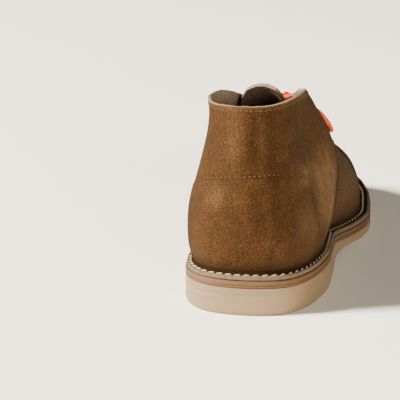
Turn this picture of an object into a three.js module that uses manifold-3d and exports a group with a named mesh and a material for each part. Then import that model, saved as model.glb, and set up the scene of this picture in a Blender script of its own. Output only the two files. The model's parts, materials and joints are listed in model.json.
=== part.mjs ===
// Chukka boot for a right foot, standing empty on its sole.
// Millimetres, +Z up, +Y towards the toe, +X towards the outer side of the foot.
// It is worked out from the back of the heel and moved to the middle of its own footprint at the end.
import * as THREE from 'three';
import Module from 'manifold-3d';

const wasm = await Module();
wasm.setup();

// Sole
const SOLE_LENGTH = 295;
const BALL_WIDTH = 102;
const OUTSOLE_AT_HEEL = 15;
const OUTSOLE_AT_BALL = 5.5;
const WEDGE_STARTS = 0.25;
const WEDGE_ENDS = 0.57;
const WAIST_LIFT = 3;
const WAIST_STARTS = 0.28;
const WAIST_ENDS = 0.58;
const TOE_SPRING = 7;
const SPRING_STARTS = 0.76;
const OUTSOLE_ROUNDING = 1.6;
const OUTSOLE_GROOVE_DEPTH = 0.5;
const MIDSOLE_THICKNESS = 3.7;
const MIDSOLE_GROOVE_DEPTH = 0.35;
const INSOLE_THICKNESS = 3;
const INSOLE_BEVEL = 1;

// Upper
const SHAFT_HEIGHT = 88.5;
const WALL = 2;
const OVERLAY = 1.5;
const FLANGE_THICKNESS = 2.3;
const FLANGE_SETBACK = 0.6;
const FEATHER_INSET_HEEL = 5;
const FEATHER_INSET_TOE = 6;
const CREASE_RADIUS = 2.2;
const EDGE_CROWN = 0.4;
const GAP = 0.3;

// Quarters lie over the vamp behind this place in the tables, and cover this much of it
const SEAM_AT = 4.85;
const LAP = 0.3;
const SEAM_SHARPNESS = 0.02;

// Tongue
const TONGUE_HALF_WIDTH = 14.2;
const TONGUE_THICKNESS = 2;
const TONGUE_CENTRE = -0.8;
const TONGUE_STEPS = 14;

// Lace and eyelets
const LACE_DIAMETER = 2.8;
const LACE_SIDES = 8;
const LACE_STEPS = 60;
const LOOP_STEPS = 26;
const END_STEPS = 18;
const EYELET_DIAMETER = 4.6;
const EYELET_FROM_EDGE = 10;
const EYELET_SIDES = 12;
const TOP_EYELET_AT = 3.98;
const LOWER_EYELET_AT = 4.46;
const EYELET_BELOW = EYELET_FROM_EDGE / LACE_DIAMETER;

// The tables run from the back of the heel (at 0) to the tip of the toe (at 12).
// along is a share of the sole's length, lateral and medial are shares of the ball width,
// and up is a share of the shaft's height.
const TOE_AT = 12;

const OUTLINE = [
  { at: 0, along: 0, lateral: 0, medial: 0 },
  { at: 1, along: 0.0186, lateral: 0.2137, medial: 0.2137 },
  { at: 2, along: 0.0797, lateral: 0.3333, medial: 0.3314 },
  { at: 3, along: 0.183, lateral: 0.391, medial: 0.355 },
  { at: 4, along: 0.2864, lateral: 0.386, medial: 0.3255 },
  { at: 5, along: 0.39, lateral: 0.374, medial: 0.307 },
  { at: 6, along: 0.5, lateral: 0.4245, medial: 0.353 },
  { at: 7, along: 0.6136, lateral: 0.49, medial: 0.436 },
  { at: 8, along: 0.7186, lateral: 0.476, medial: 0.495 },
  { at: 9, along: 0.8237, lateral: 0.436, medial: 0.485 },
  { at: 10, along: 0.917, lateral: 0.338, medial: 0.402 },
  { at: 11, along: 0.9783, lateral: 0.1716, medial: 0.25 },
  { at: 12, along: 1, lateral: -0.039, medial: 0.039 },
];

// Where each rib of the upper heads as it leaves the sole; up is measured from the feather line
const LOW = [
  { at: 0, along: -0.0186, up: 0.275, lateral: 0, medial: 0 },
  { at: 1, along: 0.005, up: 0.275, lateral: 0.255, medial: 0.255 },
  { at: 2, along: 0.0847, up: 0.255, lateral: 0.4167, medial: 0.4167 },
  { at: 2.7, along: 0.1525, up: 0.245, lateral: 0.441, medial: 0.446 },
  { at: 3.3, along: 0.2136, up: 0.235, lateral: 0.441, medial: 0.4265 },
  { at: 4.1, along: 0.2983, up: 0.225, lateral: 0.412, medial: 0.382 },
  { at: 4.85, along: 0.3797, up: 0.222, lateral: 0.412, medial: 0.363 },
  { at: 6, along: 0.505, up: 0.246, lateral: 0.48, medial: 0.4216 },
  { at: 7, along: 0.62, up: 0.233, lateral: 0.475, medial: 0.4755 },
  { at: 8, along: 0.722, up: 0.219, lateral: 0.44, medial: 0.505 },
  { at: 9, along: 0.8237, up: 0.231, lateral: 0.4, medial: 0.4755 },
  { at: 10, along: 0.9186, up: 0.237, lateral: 0.338, medial: 0.392 },
  { at: 11, along: 0.98, up: 0.254, lateral: 0.1716, medial: 0.245 },
  { at: 12, along: 1.003, up: 0.274, lateral: -0.044, medial: 0.044 },
];

// Where each rib comes from as it reaches its top edge; up is measured from the heel seat
const HIGH = [
  { at: 0, along: 0.0237, up: 0.7277, lateral: 0, medial: 0 },
  { at: 1, along: 0.0407, up: 0.7277, lateral: 0.1127, medial: 0.1127 },
  { at: 2, along: 0.0915, up: 0.7277, lateral: 0.181, medial: 0.181 },
  { at: 2.7, along: 0.1627, up: 0.705, lateral: 0.201, medial: 0.186 },
  { at: 3.3, along: 0.268, up: 0.773, lateral: 0.3627, medial: 0.2157 },
  { at: 3.7, along: 0.312, up: 0.773, lateral: 0.4555, medial: 0.2647 },
  { at: 4.1, along: 0.3627, up: 0.739, lateral: 0.4607, medial: 0.304 },
  { at: 4.5, along: 0.4136, up: 0.688, lateral: 0.4656, medial: 0.333 },
  { at: 4.85, along: 0.461, up: 0.637, lateral: 0.4706, medial: 0.363 },
  { at: 6, along: 0.5186, up: 0.4935, lateral: 0.4654, medial: 0.392 },
  { at: 7, along: 0.583, up: 0.4335, lateral: 0.397, medial: 0.392 },
  { at: 8, along: 0.637, up: 0.4005, lateral: 0.34, medial: 0.363 },
  { at: 9, along: 0.6746, up: 0.4, lateral: 0.2745, medial: 0.284 },
  { at: 10, along: 0.698, up: 0.394, lateral: 0.162, medial: 0.1765 },
  { at: 11, along: 0.7085, up: 0.385, lateral: 0.059, medial: 0.093 },
  { at: 12, along: 0.712, up: 0.381, lateral: -0.0196, medial: 0.0196 },
];

// The top edge: collar, front corner at 3.4, facing, and round the bottom of the throat.
// The inner side's own places are given where its facing curls in.
const EDGE = [
  { at: 0, along: 0.0339, up: 1, lateral: 0, medial: 0 },
  { at: 0.7, along: 0.04, up: 0.999, lateral: 0.093, medial: 0.093, medialUp: 0.997 },
  { at: 1.4, along: 0.061, up: 1.008, lateral: 0.1765, medial: 0.175, medialUp: 0.994 },
  { at: 2.1, along: 0.105, up: 1.0147, lateral: 0.2304, medial: 0.2255, medialUp: 0.9876 },
  { at: 2.7, along: 0.1695, up: 1.012, lateral: 0.253, medial: 0.253, medialUp: 0.98 },
  { at: 3.15, along: 0.2407, up: 0.9876, lateral: 0.237, medial: 0.2255, medialAlong: 0.234, medialUp: 0.968 },
  { at: 3.33, along: 0.273, up: 0.974, lateral: 0.2196, medial: 0.186, medialAlong: 0.264, medialUp: 0.949 },
  { at: 3.5, along: 0.2932, up: 0.957, lateral: 0.181, medial: 0.155, medialAlong: 0.286, medialUp: 0.924 },
  { at: 3.75, along: 0.322, up: 0.911, lateral: 0.146, medial: 0.1255, medialAlong: 0.318, medialUp: 0.886 },
  { at: 4.1, along: 0.371, up: 0.8237, lateral: 0.113, medial: 0.098, medialUp: 0.818 },
  { at: 4.5, along: 0.4237, up: 0.7277, lateral: 0.0882, medial: 0.0775 },
  { at: 4.85, along: 0.4644, up: 0.654, lateral: 0.0627, medial: 0.0627 },
  { at: 5.3, along: 0.4797, up: 0.633, lateral: 0.055, medial: 0.055 },
  { at: 6.5, along: 0.489, up: 0.6215, lateral: 0.041, medial: 0.041 },
  { at: 8, along: 0.4942, up: 0.617, lateral: 0.0285, medial: 0.0285 },
  { at: 10, along: 0.4976, up: 0.6147, lateral: 0.0137, medial: 0.0137 },
  { at: 12, along: 0.4983, up: 0.6147, lateral: 0, medial: 0 },
];

// Columns of the upper on each side, closer together round the front corner of the collar
const COLUMNS = [
  { to: 2.7, steps: 9 },
  { to: 3.15, steps: 2 },
  { to: 3.75, steps: 5 },
  { to: SEAM_AT, steps: 6 },
  { to: SEAM_AT + SEAM_SHARPNESS, steps: 1 },
  { to: TOE_AT, steps: 20 },
];

// Rows of the wall, as shares of each rib from the feather line to the top edge
const OUTER_ROWS = [0.04, 0.1, 0.17, 0.25, 0.33, 0.41, 0.49, 0.57, 0.65, 0.73, 0.81, 0.88, 0.94, 1];
const INNER_ROWS = [1, 0.93, 0.84, 0.74, 0.63, 0.52, 0.41, 0.3, 0.2, 0.1, 0.035];

// The tongue from under the vamp to its top: its middle height, and how far its sides droop
const TONGUE = [
  { along: 0.566, up: 0.4927, droop: 2.6, width: 0.95 },
  { along: 0.532, up: 0.522, droop: 3, width: 1 },
  { along: 0.498, up: 0.5548, droop: 3.5, width: 1.03 },
  { along: 0.464, up: 0.5955, droop: 3.5, width: 1 },
  { along: 0.444, up: 0.633, droop: 5, width: 1 },
  { along: 0.424, up: 0.677, droop: 6, width: 1 },
  { along: 0.371, up: 0.768, droop: 6, width: 1 },
  { along: 0.346, up: 0.809, droop: 6, width: 1 },
  { along: 0.322, up: 0.852, droop: 6.2, width: 1 },
  { along: 0.292, up: 0.906, droop: 7, width: 1 },
  { along: 0.255, up: 1.012, droop: 7.5, width: 1 },
];

// Places across the tongue as shares of its half width, and how far its rounded tip has come
const TONGUE_ACROSS = [-1, -0.94, -0.7, -0.35, 0, 0.35, 0.7, 0.94, 1];
const TONGUE_TIP = [0.25, 0.5, 0.7, 0.86, 0.95, 1];
const TONGUE_TIP_WIDTH = 0.6;

// The outsole's side from the floor up: a rounded lower edge and a shallow groove under its top
const OUTSOLE_SIDE = [
  { share: 0, inset: OUTSOLE_ROUNDING },
  { share: 0.06, inset: OUTSOLE_ROUNDING / 3 },
  { share: 0.17, inset: 0 },
  { share: 0.68, inset: 0 },
  { share: 0.72, inset: OUTSOLE_GROOVE_DEPTH },
  { share: 0.76, inset: 0 },
  { share: 1, inset: 0 },
];

// The midsole's side: two layers of leather with a joint between them, and a worn upper edge
const MIDSOLE_SIDE = [
  { share: 0, inset: 0 },
  { share: 0.3, inset: 0 },
  { share: 0.36, inset: MIDSOLE_GROOVE_DEPTH },
  { share: 0.42, inset: 0 },
  { share: 0.9, inset: 0 },
  { share: 1, inset: MIDSOLE_GROOVE_DEPTH },
];

// Places along the lace are in lace diameters. One near the knot is out, ahead and up from the knot.
// One on the quarter or vamp is below the top edge at its place in the tables, and off the quarter's surface.
// The knot itself is placed from midway between the top edges over the top eyelets.
const KNOT = { ahead: 0.96, up: 0.34, wide: 3, deep: 2.7, high: 2.5 };

// From the knot in by the top eyelet, down inside the quarter beside the tongue, out by the lower one to the bar
const LACING = [
  { out: 1.71, ahead: -0.21, up: -0.36 },
  { at: TOP_EYELET_AT, below: 0.18, off: 0.86 },
  { at: TOP_EYELET_AT, below: 2.32, off: 0.72 },
  { at: TOP_EYELET_AT, below: EYELET_BELOW, off: 0.18 },
  { at: TOP_EYELET_AT, below: EYELET_BELOW, off: -1.06 },
  { at: 4.1, below: 4.7, off: -1.43 },
  { at: 4.22, below: 5.5, off: -1.4 },
  { at: 4.34, below: 5.4, off: -1.4 },
  { at: LOWER_EYELET_AT, below: EYELET_BELOW, off: -1.06 },
  { at: LOWER_EYELET_AT, below: EYELET_BELOW, off: 0.18 },
  { at: LOWER_EYELET_AT, below: 2.32, off: 0.72 },
  { at: LOWER_EYELET_AT, below: 0.18, off: 0.79 },
];
const LACE_BAR_RISE = 0.21;

// A loop of the bow, out from the knot, down the quarter and back; the medial one is a little shorter
const LOOP = [
  { out: 1.14, ahead: 1.43, up: 0.04 },
  { out: 2.6, ahead: 3.05, up: -0.36 },
  { at: 4.34, below: 0.3, off: 1.6 },
  { at: 4.43, below: 2.1, off: 1.98 },
  { at: 4.5, below: 4.1, off: 1.78 },
  { at: 4.56, below: 6.2, off: 1.14 },
  { at: 4.62, below: 8.3, off: 0.84 },
  { at: 4.61, below: 9.6, off: 0.74 },
  { at: 4.52, below: 10.3, off: 0.72 },
  { at: 4.4, below: 10.2, off: 0.72 },
  { at: 4.27, below: 9.4, off: 0.78 },
  { at: 4.19, below: 7.8, off: 0.78 },
  { at: 4.15, below: 6, off: 0.76 },
  { at: 4.18, below: 4, off: 0.78 },
  { at: 4.2, below: 1.9, off: 0.84 },
  { at: 4.18, below: 0.3, off: 0.95 },
  { out: 3.3, ahead: 1.1, up: 0.05 },
  { out: 2, ahead: 0.55, up: 0.75 },
];
const MEDIAL_LOOP_SHARE = 0.95;

// A free end of the bow, forwards over the bar and down on to the vamp
const END = [
  { out: 0.57, ahead: 1.18, up: -1.29 },
  { out: 1.15, ahead: 3.6, up: -1.25 },
  { out: 1.75, ahead: 5.9, up: -1.35 },
  { out: 2.6, ahead: 7.7, up: -2.45 },
  { at: 4.65, below: 1.5, off: 1.4 },
  { at: 4.87, below: 2.9, off: 0.95 },
  { at: 5.38, below: 4, off: 0.5 },
  { at: 6.23, below: 5.5, off: 0.16 },
  { at: 6.66, below: 7.1, off: 0.1 },
  { at: 7.04, below: 8.6, off: 0.1 },
];

const COLOURS = {
  suede: '#84592f',
  leather: '#c4976a',
  rubber: '#d8ccb2',
  lining: '#bfae98',
  lace: '#e2562c',
};

// A place on the medial side for one on the lateral side, and the other way round
const mirrored = (at) => 2 * TOE_AT - at;

const smooth = (share) => {
  const held = THREE.MathUtils.clamp(share, 0, 1);
  return held * held * (3 - 2 * held);
};

// The value of an open or closed run of stops at one place, with its slope taken from the stops beside it
function runThrough(stops, at, period) {
  const count = stops.length;
  const stop = (index) => {
    if (!period) return stops[THREE.MathUtils.clamp(index, 0, count - 1)];
    const turn = Math.floor(index / count);
    const { at: place, point } = stops[index - turn * count];
    return { at: place + turn * period, point };
  };
  const place = period ? THREE.MathUtils.euclideanModulo(at, period) : at;
  let index = stops.findLastIndex((candidate) => candidate.at <= place);
  if (!period) index = THREE.MathUtils.clamp(index, 0, count - 2);
  const [before, from, to, after] = [-1, 0, 1, 2].map((step) => stop(index + step));
  const width = to.at - from.at;
  const slope = (first, last) => last.point.clone().sub(first.point).multiplyScalar(width / (last.at - first.at));
  const t = (place - from.at) / width;
  return from.point.clone().multiplyScalar(2 * t ** 3 - 3 * t ** 2 + 1)
    .addScaledVector(slope(before, to), t ** 3 - 2 * t ** 2 + t)
    .addScaledVector(to.point, 3 * t ** 2 - 2 * t ** 3)
    .addScaledVector(slope(from, after), t ** 3 - t ** 2);
}

// A closed run through a table: out along the lateral side and back along the medial one
function bothSides(rows, heightOf) {
  const stopOf = (row, side) => {
    const medial = side < 0;
    const out = medial ? -row.medial : row.lateral;
    const along = (medial && row.medialAlong) || row.along;
    const up = (medial && row.medialUp) || row.up || 0;
    return new THREE.Vector3(out * BALL_WIDTH, along * SOLE_LENGTH, heightOf(up));
  };
  const lateral = rows.map((row) => ({ at: row.at, point: stopOf(row, 1) }));
  const medial = rows.slice(1, -1).reverse();
  const stops = [...lateral, ...medial.map((row) => ({ at: mirrored(row.at), point: stopOf(row, -1) }))];
  return (at) => runThrough(stops, at, 2 * TOE_AT);
}

// Heights of the sole, and how far the wedge has come down from heel to ball
const toeSpring = (y) => TOE_SPRING * Math.max(0, (y / SOLE_LENGTH - SPRING_STARTS) / (1 - SPRING_STARTS)) ** 2;
const wedge = (y) => smooth((y / SOLE_LENGTH - WEDGE_STARTS) / (WEDGE_ENDS - WEDGE_STARTS));
const lift = (y) => {
  const waist = THREE.MathUtils.clamp((y / SOLE_LENGTH - WAIST_STARTS) / (WAIST_ENDS - WAIST_STARTS), 0, 1);
  return WAIST_LIFT * Math.sin(Math.PI * waist) ** 2 + toeSpring(y);
};
const outsoleTop = (y) => THREE.MathUtils.lerp(OUTSOLE_AT_HEEL, OUTSOLE_AT_BALL, wedge(y)) + toeSpring(y);
const midsoleBottom = (y) => outsoleTop(y) + GAP;
const midsoleTop = (y) => midsoleBottom(y) + MIDSOLE_THICKNESS;
const flangeBottom = (y) => midsoleTop(y) + GAP;
const flangeTop = (y) => flangeBottom(y) + FLANGE_THICKNESS;
const HEEL_SEAT = flangeTop(0);

const soleEdge = bothSides(OUTLINE, () => 0);

// The way into the foot from the sole's edge, level with the floor
function inwards(at) {
  const tangent = soleEdge(at + 0.01).sub(soleEdge(at - 0.01)).normalize();
  return new THREE.Vector3(-tangent.y, tangent.x, 0);
}

function insetEdge(at, inset, heightAt) {
  const point = soleEdge(at).addScaledVector(inwards(at), inset);
  point.z = heightAt(point.y);
  return point;
}

const featherInset = (y) => THREE.MathUtils.lerp(FEATHER_INSET_HEEL, FEATHER_INSET_TOE, wedge(y));
const feather = (at) => insetEdge(at, featherInset(soleEdge(at).y), flangeTop);

const lowRun = bothSides(LOW, (up) => up * SHAFT_HEIGHT);
const highRun = bothSides(HIGH, (up) => HEEL_SEAT + up * SHAFT_HEIGHT);
const edgeRun = bothSides(EDGE, (up) => HEEL_SEAT + up * SHAFT_HEIGHT);

// The outer surface of the quarters, carried on forwards a little above the vamp
function lastSurface(at, share) {
  const foot = feather(at);
  const low = lowRun(at);
  low.z += foot.z;
  return new THREE.CubicBezierCurve3(foot, low, highRun(at), edgeRun(at)).getPoint(share);
}

function lastNormal(at, share) {
  const step = 0.004;
  const up = Math.min(share + step, 1);
  const around = lastSurface(at + step, share).sub(lastSurface(at - step, share));
  const rise = lastSurface(at, up).sub(lastSurface(at, up - 2 * step));
  return around.cross(rise).normalize();
}

const inwardFromLast = (at, share, depth) => lastSurface(at, share).addScaledVector(lastNormal(at, share), -depth);

// The place in the tables for a place on either side, so that both sides share their rules
const tableAt = (at) => (at > TOE_AT ? mirrored(at) : at);
const outerDepth = (at) => (tableAt(at) <= SEAM_AT ? 0 : OVERLAY);
const innerDepth = (at) => (tableAt(at) < SEAM_AT - LAP ? WALL : OVERLAY + WALL);

function columnPlaces() {
  const places = [0];
  for (const { to, steps } of COLUMNS) {
    const from = places[places.length - 1];
    for (let step = 1; step <= steps; step++) places.push(from + ((to - from) * step) / steps);
  }
  const back = places.slice(1, -1).reverse().map(mirrored);
  return [...places, ...back];
}
const PLACES = columnPlaces();

function meshGeometry(points, triangles) {
  const geometry = new THREE.BufferGeometry();
  geometry.setAttribute('position', new THREE.Float32BufferAttribute(points.flatMap((p) => [p.x, p.y, p.z]), 3));
  geometry.setIndex(triangles.flat());
  return geometry;
}

// A closed skin round rings of points: each ring joins the next, and the last joins the first
function closedSkin(rings) {
  const size = rings[0].length;
  const triangles = [];
  rings.forEach((ring, index) => {
    const here = index * size;
    const next = ((index + 1) % rings.length) * size;
    for (let i = 0; i < size; i++) {
      const j = (i + 1) % size;
      triangles.push([here + i, next + i, next + j], [here + i, next + j, here + j]);
    }
  });
  return meshGeometry(rings.flat(), triangles);
}

// A plate from rings stacked upwards, closed below and above by strips from side to side
function plate(rings) {
  const size = rings[0].length;
  const triangles = [];
  for (let level = 0; level < rings.length - 1; level++) {
    for (let i = 0; i < size; i++) {
      const j = (i + 1) % size;
      const [low, high] = [level * size, (level + 1) * size];
      triangles.push([low + i, low + j, high + j], [low + i, high + j, high + i]);
    }
  }
  const top = (rings.length - 1) * size;
  const add = (a, b, c) => {
    triangles.push([top + a, top + b, top + c], [c, b, a]);
  };
  for (let i = 0; i < size / 2; i++) {
    const opposite = (size - i) % size;
    if (i > 0) add(i, i + 1, opposite);
    if (i + 1 < size / 2) add(i + 1, size - i - 1, opposite);
  }
  return meshGeometry(rings.flat(), triangles);
}

// A level of a plate, inset from the sole's edge, at a share of the way between two heights
const levelOf = (below, above) => ({ share, inset }) =>
  PLACES.map((at) => insetEdge(at, inset, (y) => THREE.MathUtils.lerp(below(y), above(y), share)));

const outsole = () => plate(OUTSOLE_SIDE.map(levelOf(lift, outsoleTop)));
const midsole = () => plate(MIDSOLE_SIDE.map(levelOf(midsoleBottom, midsoleTop)));

function insole() {
  const insetAt = (at) => featherInset(soleEdge(at).y) + OVERLAY + WALL + GAP;
  const ring = (heightAt, more) => PLACES.map((at) => insetEdge(at, insetAt(at) + more, heightAt));
  const top = (y) => flangeBottom(y) + INSOLE_THICKNESS;
  return plate([ring(flangeBottom, 0), ring((y) => top(y) - INSOLE_BEVEL, 0), ring(top, INSOLE_BEVEL)]);
}

// One section of the upper: out along the flange, up the wall, over the edge and down the inside
function upperSection(at) {
  const foot = feather(at);
  const outwards = inwards(at).negate();
  const outer = outerDepth(at);
  const inner = innerDepth(at);
  const fromFoot = (out, heightAt) => {
    const point = foot.clone().addScaledVector(outwards, out);
    point.z = heightAt(point.y);
    return point;
  };
  const crown = inwardFromLast(at, 1, (outer + inner) / 2);
  const rise = lastSurface(at, 1).sub(lastSurface(at, 0.98)).normalize();
  return [
    fromFoot(-inner, flangeBottom),
    insetEdge(at, FLANGE_SETBACK, flangeBottom),
    insetEdge(at, FLANGE_SETBACK, (y) => flangeBottom(y) + FLANGE_THICKNESS / 2),
    insetEdge(at, FLANGE_SETBACK * 1.5, flangeTop),
    fromFoot(CREASE_RADIUS - outer, flangeTop),
    fromFoot(CREASE_RADIUS / 3 - outer, (y) => flangeTop(y) + CREASE_RADIUS / 3),
    ...OUTER_ROWS.map((share) => inwardFromLast(at, share, outer)),
    crown.addScaledVector(rise, EDGE_CROWN),
    ...INNER_ROWS.map((share) => inwardFromLast(at, share, inner)),
  ];
}

function asSolid(geometry) {
  const vertProperties = new Float32Array(geometry.attributes.position.array);
  const triVerts = new Uint32Array(geometry.index.array);
  return new wasm.Manifold(new wasm.Mesh({ numProp: 3, vertProperties, triVerts }));
}

function asGeometry(solid) {
  const { vertProperties, triVerts } = solid.getMesh();
  const geometry = new THREE.BufferGeometry();
  geometry.setAttribute('position', new THREE.BufferAttribute(new Float32Array(vertProperties), 3));
  geometry.setIndex(new THREE.BufferAttribute(new Uint32Array(triVerts), 1));
  return geometry;
}

// How far down a rib from its top edge, as a share of the rib, a length in millimetres reaches
function shareBelowEdge(at, length) {
  const reach = lastSurface(at, 1).distanceTo(lastSurface(at, 0.9));
  return 1 - (0.1 * length) / reach;
}

// The middle of each eyelet on the quarter's outer surface, and the way out of it
function eyelets() {
  const places = [TOP_EYELET_AT, LOWER_EYELET_AT].flatMap((at) => [at, mirrored(at)]);
  return places.map((at) => {
    const share = shareBelowEdge(at, EYELET_FROM_EDGE);
    return { centre: lastSurface(at, share), normal: lastNormal(at, share) };
  });
}

function upper() {
  const bore = new THREE.CylinderGeometry(EYELET_DIAMETER / 2, EYELET_DIAMETER / 2, 6 * WALL, EYELET_SIDES);
  bore.deleteAttribute('normal');
  bore.deleteAttribute('uv');
  let solid = asSolid(closedSkin(PLACES.map(upperSection)));
  for (const { centre, normal } of eyelets()) {
    const turn = new THREE.Quaternion().setFromUnitVectors(new THREE.Vector3(0, 1, 0), normal);
    const placed = new THREE.Matrix4().compose(centre, turn, new THREE.Vector3(1, 1, 1));
    const tool = mergedSolid(bore.clone().applyMatrix4(placed));
    solid = solid.subtract(tool);
  }
  return asGeometry(solid);
}

// A three.js primitive as a solid, with its doubled vertices joined
function mergedSolid(geometry) {
  const source = new wasm.Mesh({
    numProp: 3,
    vertProperties: new Float32Array(geometry.attributes.position.array),
    triVerts: new Uint32Array(geometry.index.array),
  });
  source.merge();
  return new wasm.Manifold(source);
}

function tongue() {
  const stops = TONGUE.map((row, index) => ({
    at: index,
    point: new THREE.Vector4(row.along * SOLE_LENGTH, HEEL_SEAT + row.up * SHAFT_HEIGHT, row.droop, row.width),
  }));
  const last = stops.length - 1;
  const section = (at, narrowing) => {
    const middle = runThrough(stops, at, 0);
    const ahead = runThrough(stops, Math.min(at + 0.01, last), 0);
    const behind = runThrough(stops, Math.min(at + 0.01, last) - 0.02, 0);
    const slope = new THREE.Vector3(0, ahead.x - behind.x, ahead.y - behind.y).normalize();
    const outwards = new THREE.Vector3(0, slope.z, -slope.y);
    const place = (share, depth) => {
      const out = share * narrowing * TONGUE_HALF_WIDTH * middle.w;
      const droop = middle.z * (share * narrowing) ** 2;
      return new THREE.Vector3(TONGUE_CENTRE + out, middle.x, middle.y - droop).addScaledVector(outwards, -depth);
    };
    const face = TONGUE_ACROSS.map((share) => place(share, 0));
    const back = TONGUE_ACROSS.slice(1, -1).reverse().map((share) => place(share, TONGUE_THICKNESS));
    return [...face, ...back];
  };
  const narrowed = (share) => Math.sqrt(1 - (1 - TONGUE_TIP_WIDTH ** 2) * share ** 2.5);
  const body = Array.from({ length: TONGUE_STEPS + 1 }, (_, step) => section(((last - 1) * step) / TONGUE_STEPS, 1));
  return cappedSkin([...body, ...TONGUE_TIP.map((share) => section(last - 1 + share, narrowed(share)))]);
}

// A closed skin along rings of points, with a flat fan at each end
function cappedSkin(rings) {
  const size = rings[0].length;
  const triangles = [];
  for (let index = 0; index < rings.length - 1; index++) {
    const [here, next] = [index * size, (index + 1) * size];
    for (let i = 0; i < size; i++) {
      const j = (i + 1) % size;
      triangles.push([here + i, next + j, here + j], [here + i, next + i, next + j]);
    }
  }
  const points = rings.flat();
  const middleOf = (ring) => ring.reduce((sum, p) => sum.add(p), new THREE.Vector3()).divideScalar(size);
  const end = (rings.length - 1) * size;
  points.push(middleOf(rings[0]), middleOf(rings[rings.length - 1]));
  for (let i = 0; i < size; i++) {
    const j = (i + 1) % size;
    triangles.push([points.length - 2, i, j], [points.length - 1, end + j, end + i]);
  }
  return meshGeometry(points, triangles);
}

const topEdgeMiddle = lastSurface(TOP_EYELET_AT, 1).lerp(lastSurface(mirrored(TOP_EYELET_AT), 1), 0.5);
const knotCentre = topEdgeMiddle.add(new THREE.Vector3(0, KNOT.ahead, KNOT.up).multiplyScalar(LACE_DIAMETER));

// A place along the lace on one side of the foot; its reach down the quarter may be shortened
function lacePlace(place, side, reach = 1) {
  if (place.at === undefined) {
    const fromKnot = new THREE.Vector3(side * place.out, place.ahead, place.up);
    return fromKnot.multiplyScalar(LACE_DIAMETER).add(knotCentre);
  }
  const at = side > 0 ? place.at : mirrored(place.at);
  const share = shareBelowEdge(at, place.below * reach * LACE_DIAMETER);
  return inwardFromLast(at, share, -place.off * LACE_DIAMETER);
}

// A round cord along a smooth route
function cord(points, steps) {
  const ring = Array.from({ length: LACE_SIDES }, (_, i) => {
    const angle = (2 * Math.PI * i) / LACE_SIDES;
    return new THREE.Vector2(Math.cos(angle), Math.sin(angle)).multiplyScalar(LACE_DIAMETER / 2);
  });
  const extrudePath = new THREE.CatmullRomCurve3(points, false, 'centripetal');
  return new THREE.ExtrudeGeometry(new THREE.Shape(ring), { steps, extrudePath });
}

// The lace from the knot through both pairs of eyelets and back, with its bar across the throat
function lace() {
  const lateral = LACING.map((place) => lacePlace(place, 1));
  const medial = LACING.map((place) => lacePlace(place, -1)).reverse();
  const middle = lateral[lateral.length - 1].clone().lerp(medial[0], 0.5);
  middle.z += LACE_BAR_RISE * LACE_DIAMETER;
  return cord([...lateral, middle, ...medial], LACE_STEPS);
}

const loop = (side, reach) => cord(LOOP.map((place) => lacePlace(place, side, reach)), LOOP_STEPS);
const end = (side) => cord(END.map((place) => lacePlace(place, side)), END_STEPS);

function knot() {
  const size = new THREE.Vector3(KNOT.wide, KNOT.deep, KNOT.high).multiplyScalar(LACE_DIAMETER);
  return new THREE.SphereGeometry(0.5, 10, 7).scale(...size).translate(...knotCentre);
}

const material = (colour, roughness) => new THREE.MeshStandardMaterial({ color: colour, roughness, metalness: 0 });

function piece(name, geometry, finish) {
  const mesh = new THREE.Mesh(geometry, finish);
  mesh.name = name;
  return mesh;
}

const boot = new THREE.Group();
boot.add(
  piece('outsole', outsole(), material(COLOURS.rubber, 0.6)),
  piece('midsole', midsole(), material(COLOURS.leather, 0.7)),
  piece('insole', insole(), material(COLOURS.lining, 0.8)),
  piece('upper', upper(), material(COLOURS.suede, 0.95)),
  piece('tongue', tongue(), material(COLOURS.lining, 0.95)),
  piece('lace', lace(), material(COLOURS.lace, 0.8)),
  piece('lace_knot', knot(), material(COLOURS.lace, 0.8)),
  piece('lace_loop_lateral', loop(1, 1), material(COLOURS.lace, 0.8)),
  piece('lace_loop_medial', loop(-1, MEDIAL_LOOP_SHARE), material(COLOURS.lace, 0.8)),
  piece('lace_end_lateral', end(1), material(COLOURS.lace, 0.8)),
  piece('lace_end_medial', end(-1), material(COLOURS.lace, 0.8)),
);

// The origin is on the floor, in the middle of the whole boot's box
const box = new THREE.Box3().setFromObject(boot);
const middle = box.getCenter(new THREE.Vector3());
boot.position.set(-middle.x, -middle.y, -box.min.z);
boot.updateMatrixWorld(true);

export default boot;
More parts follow.
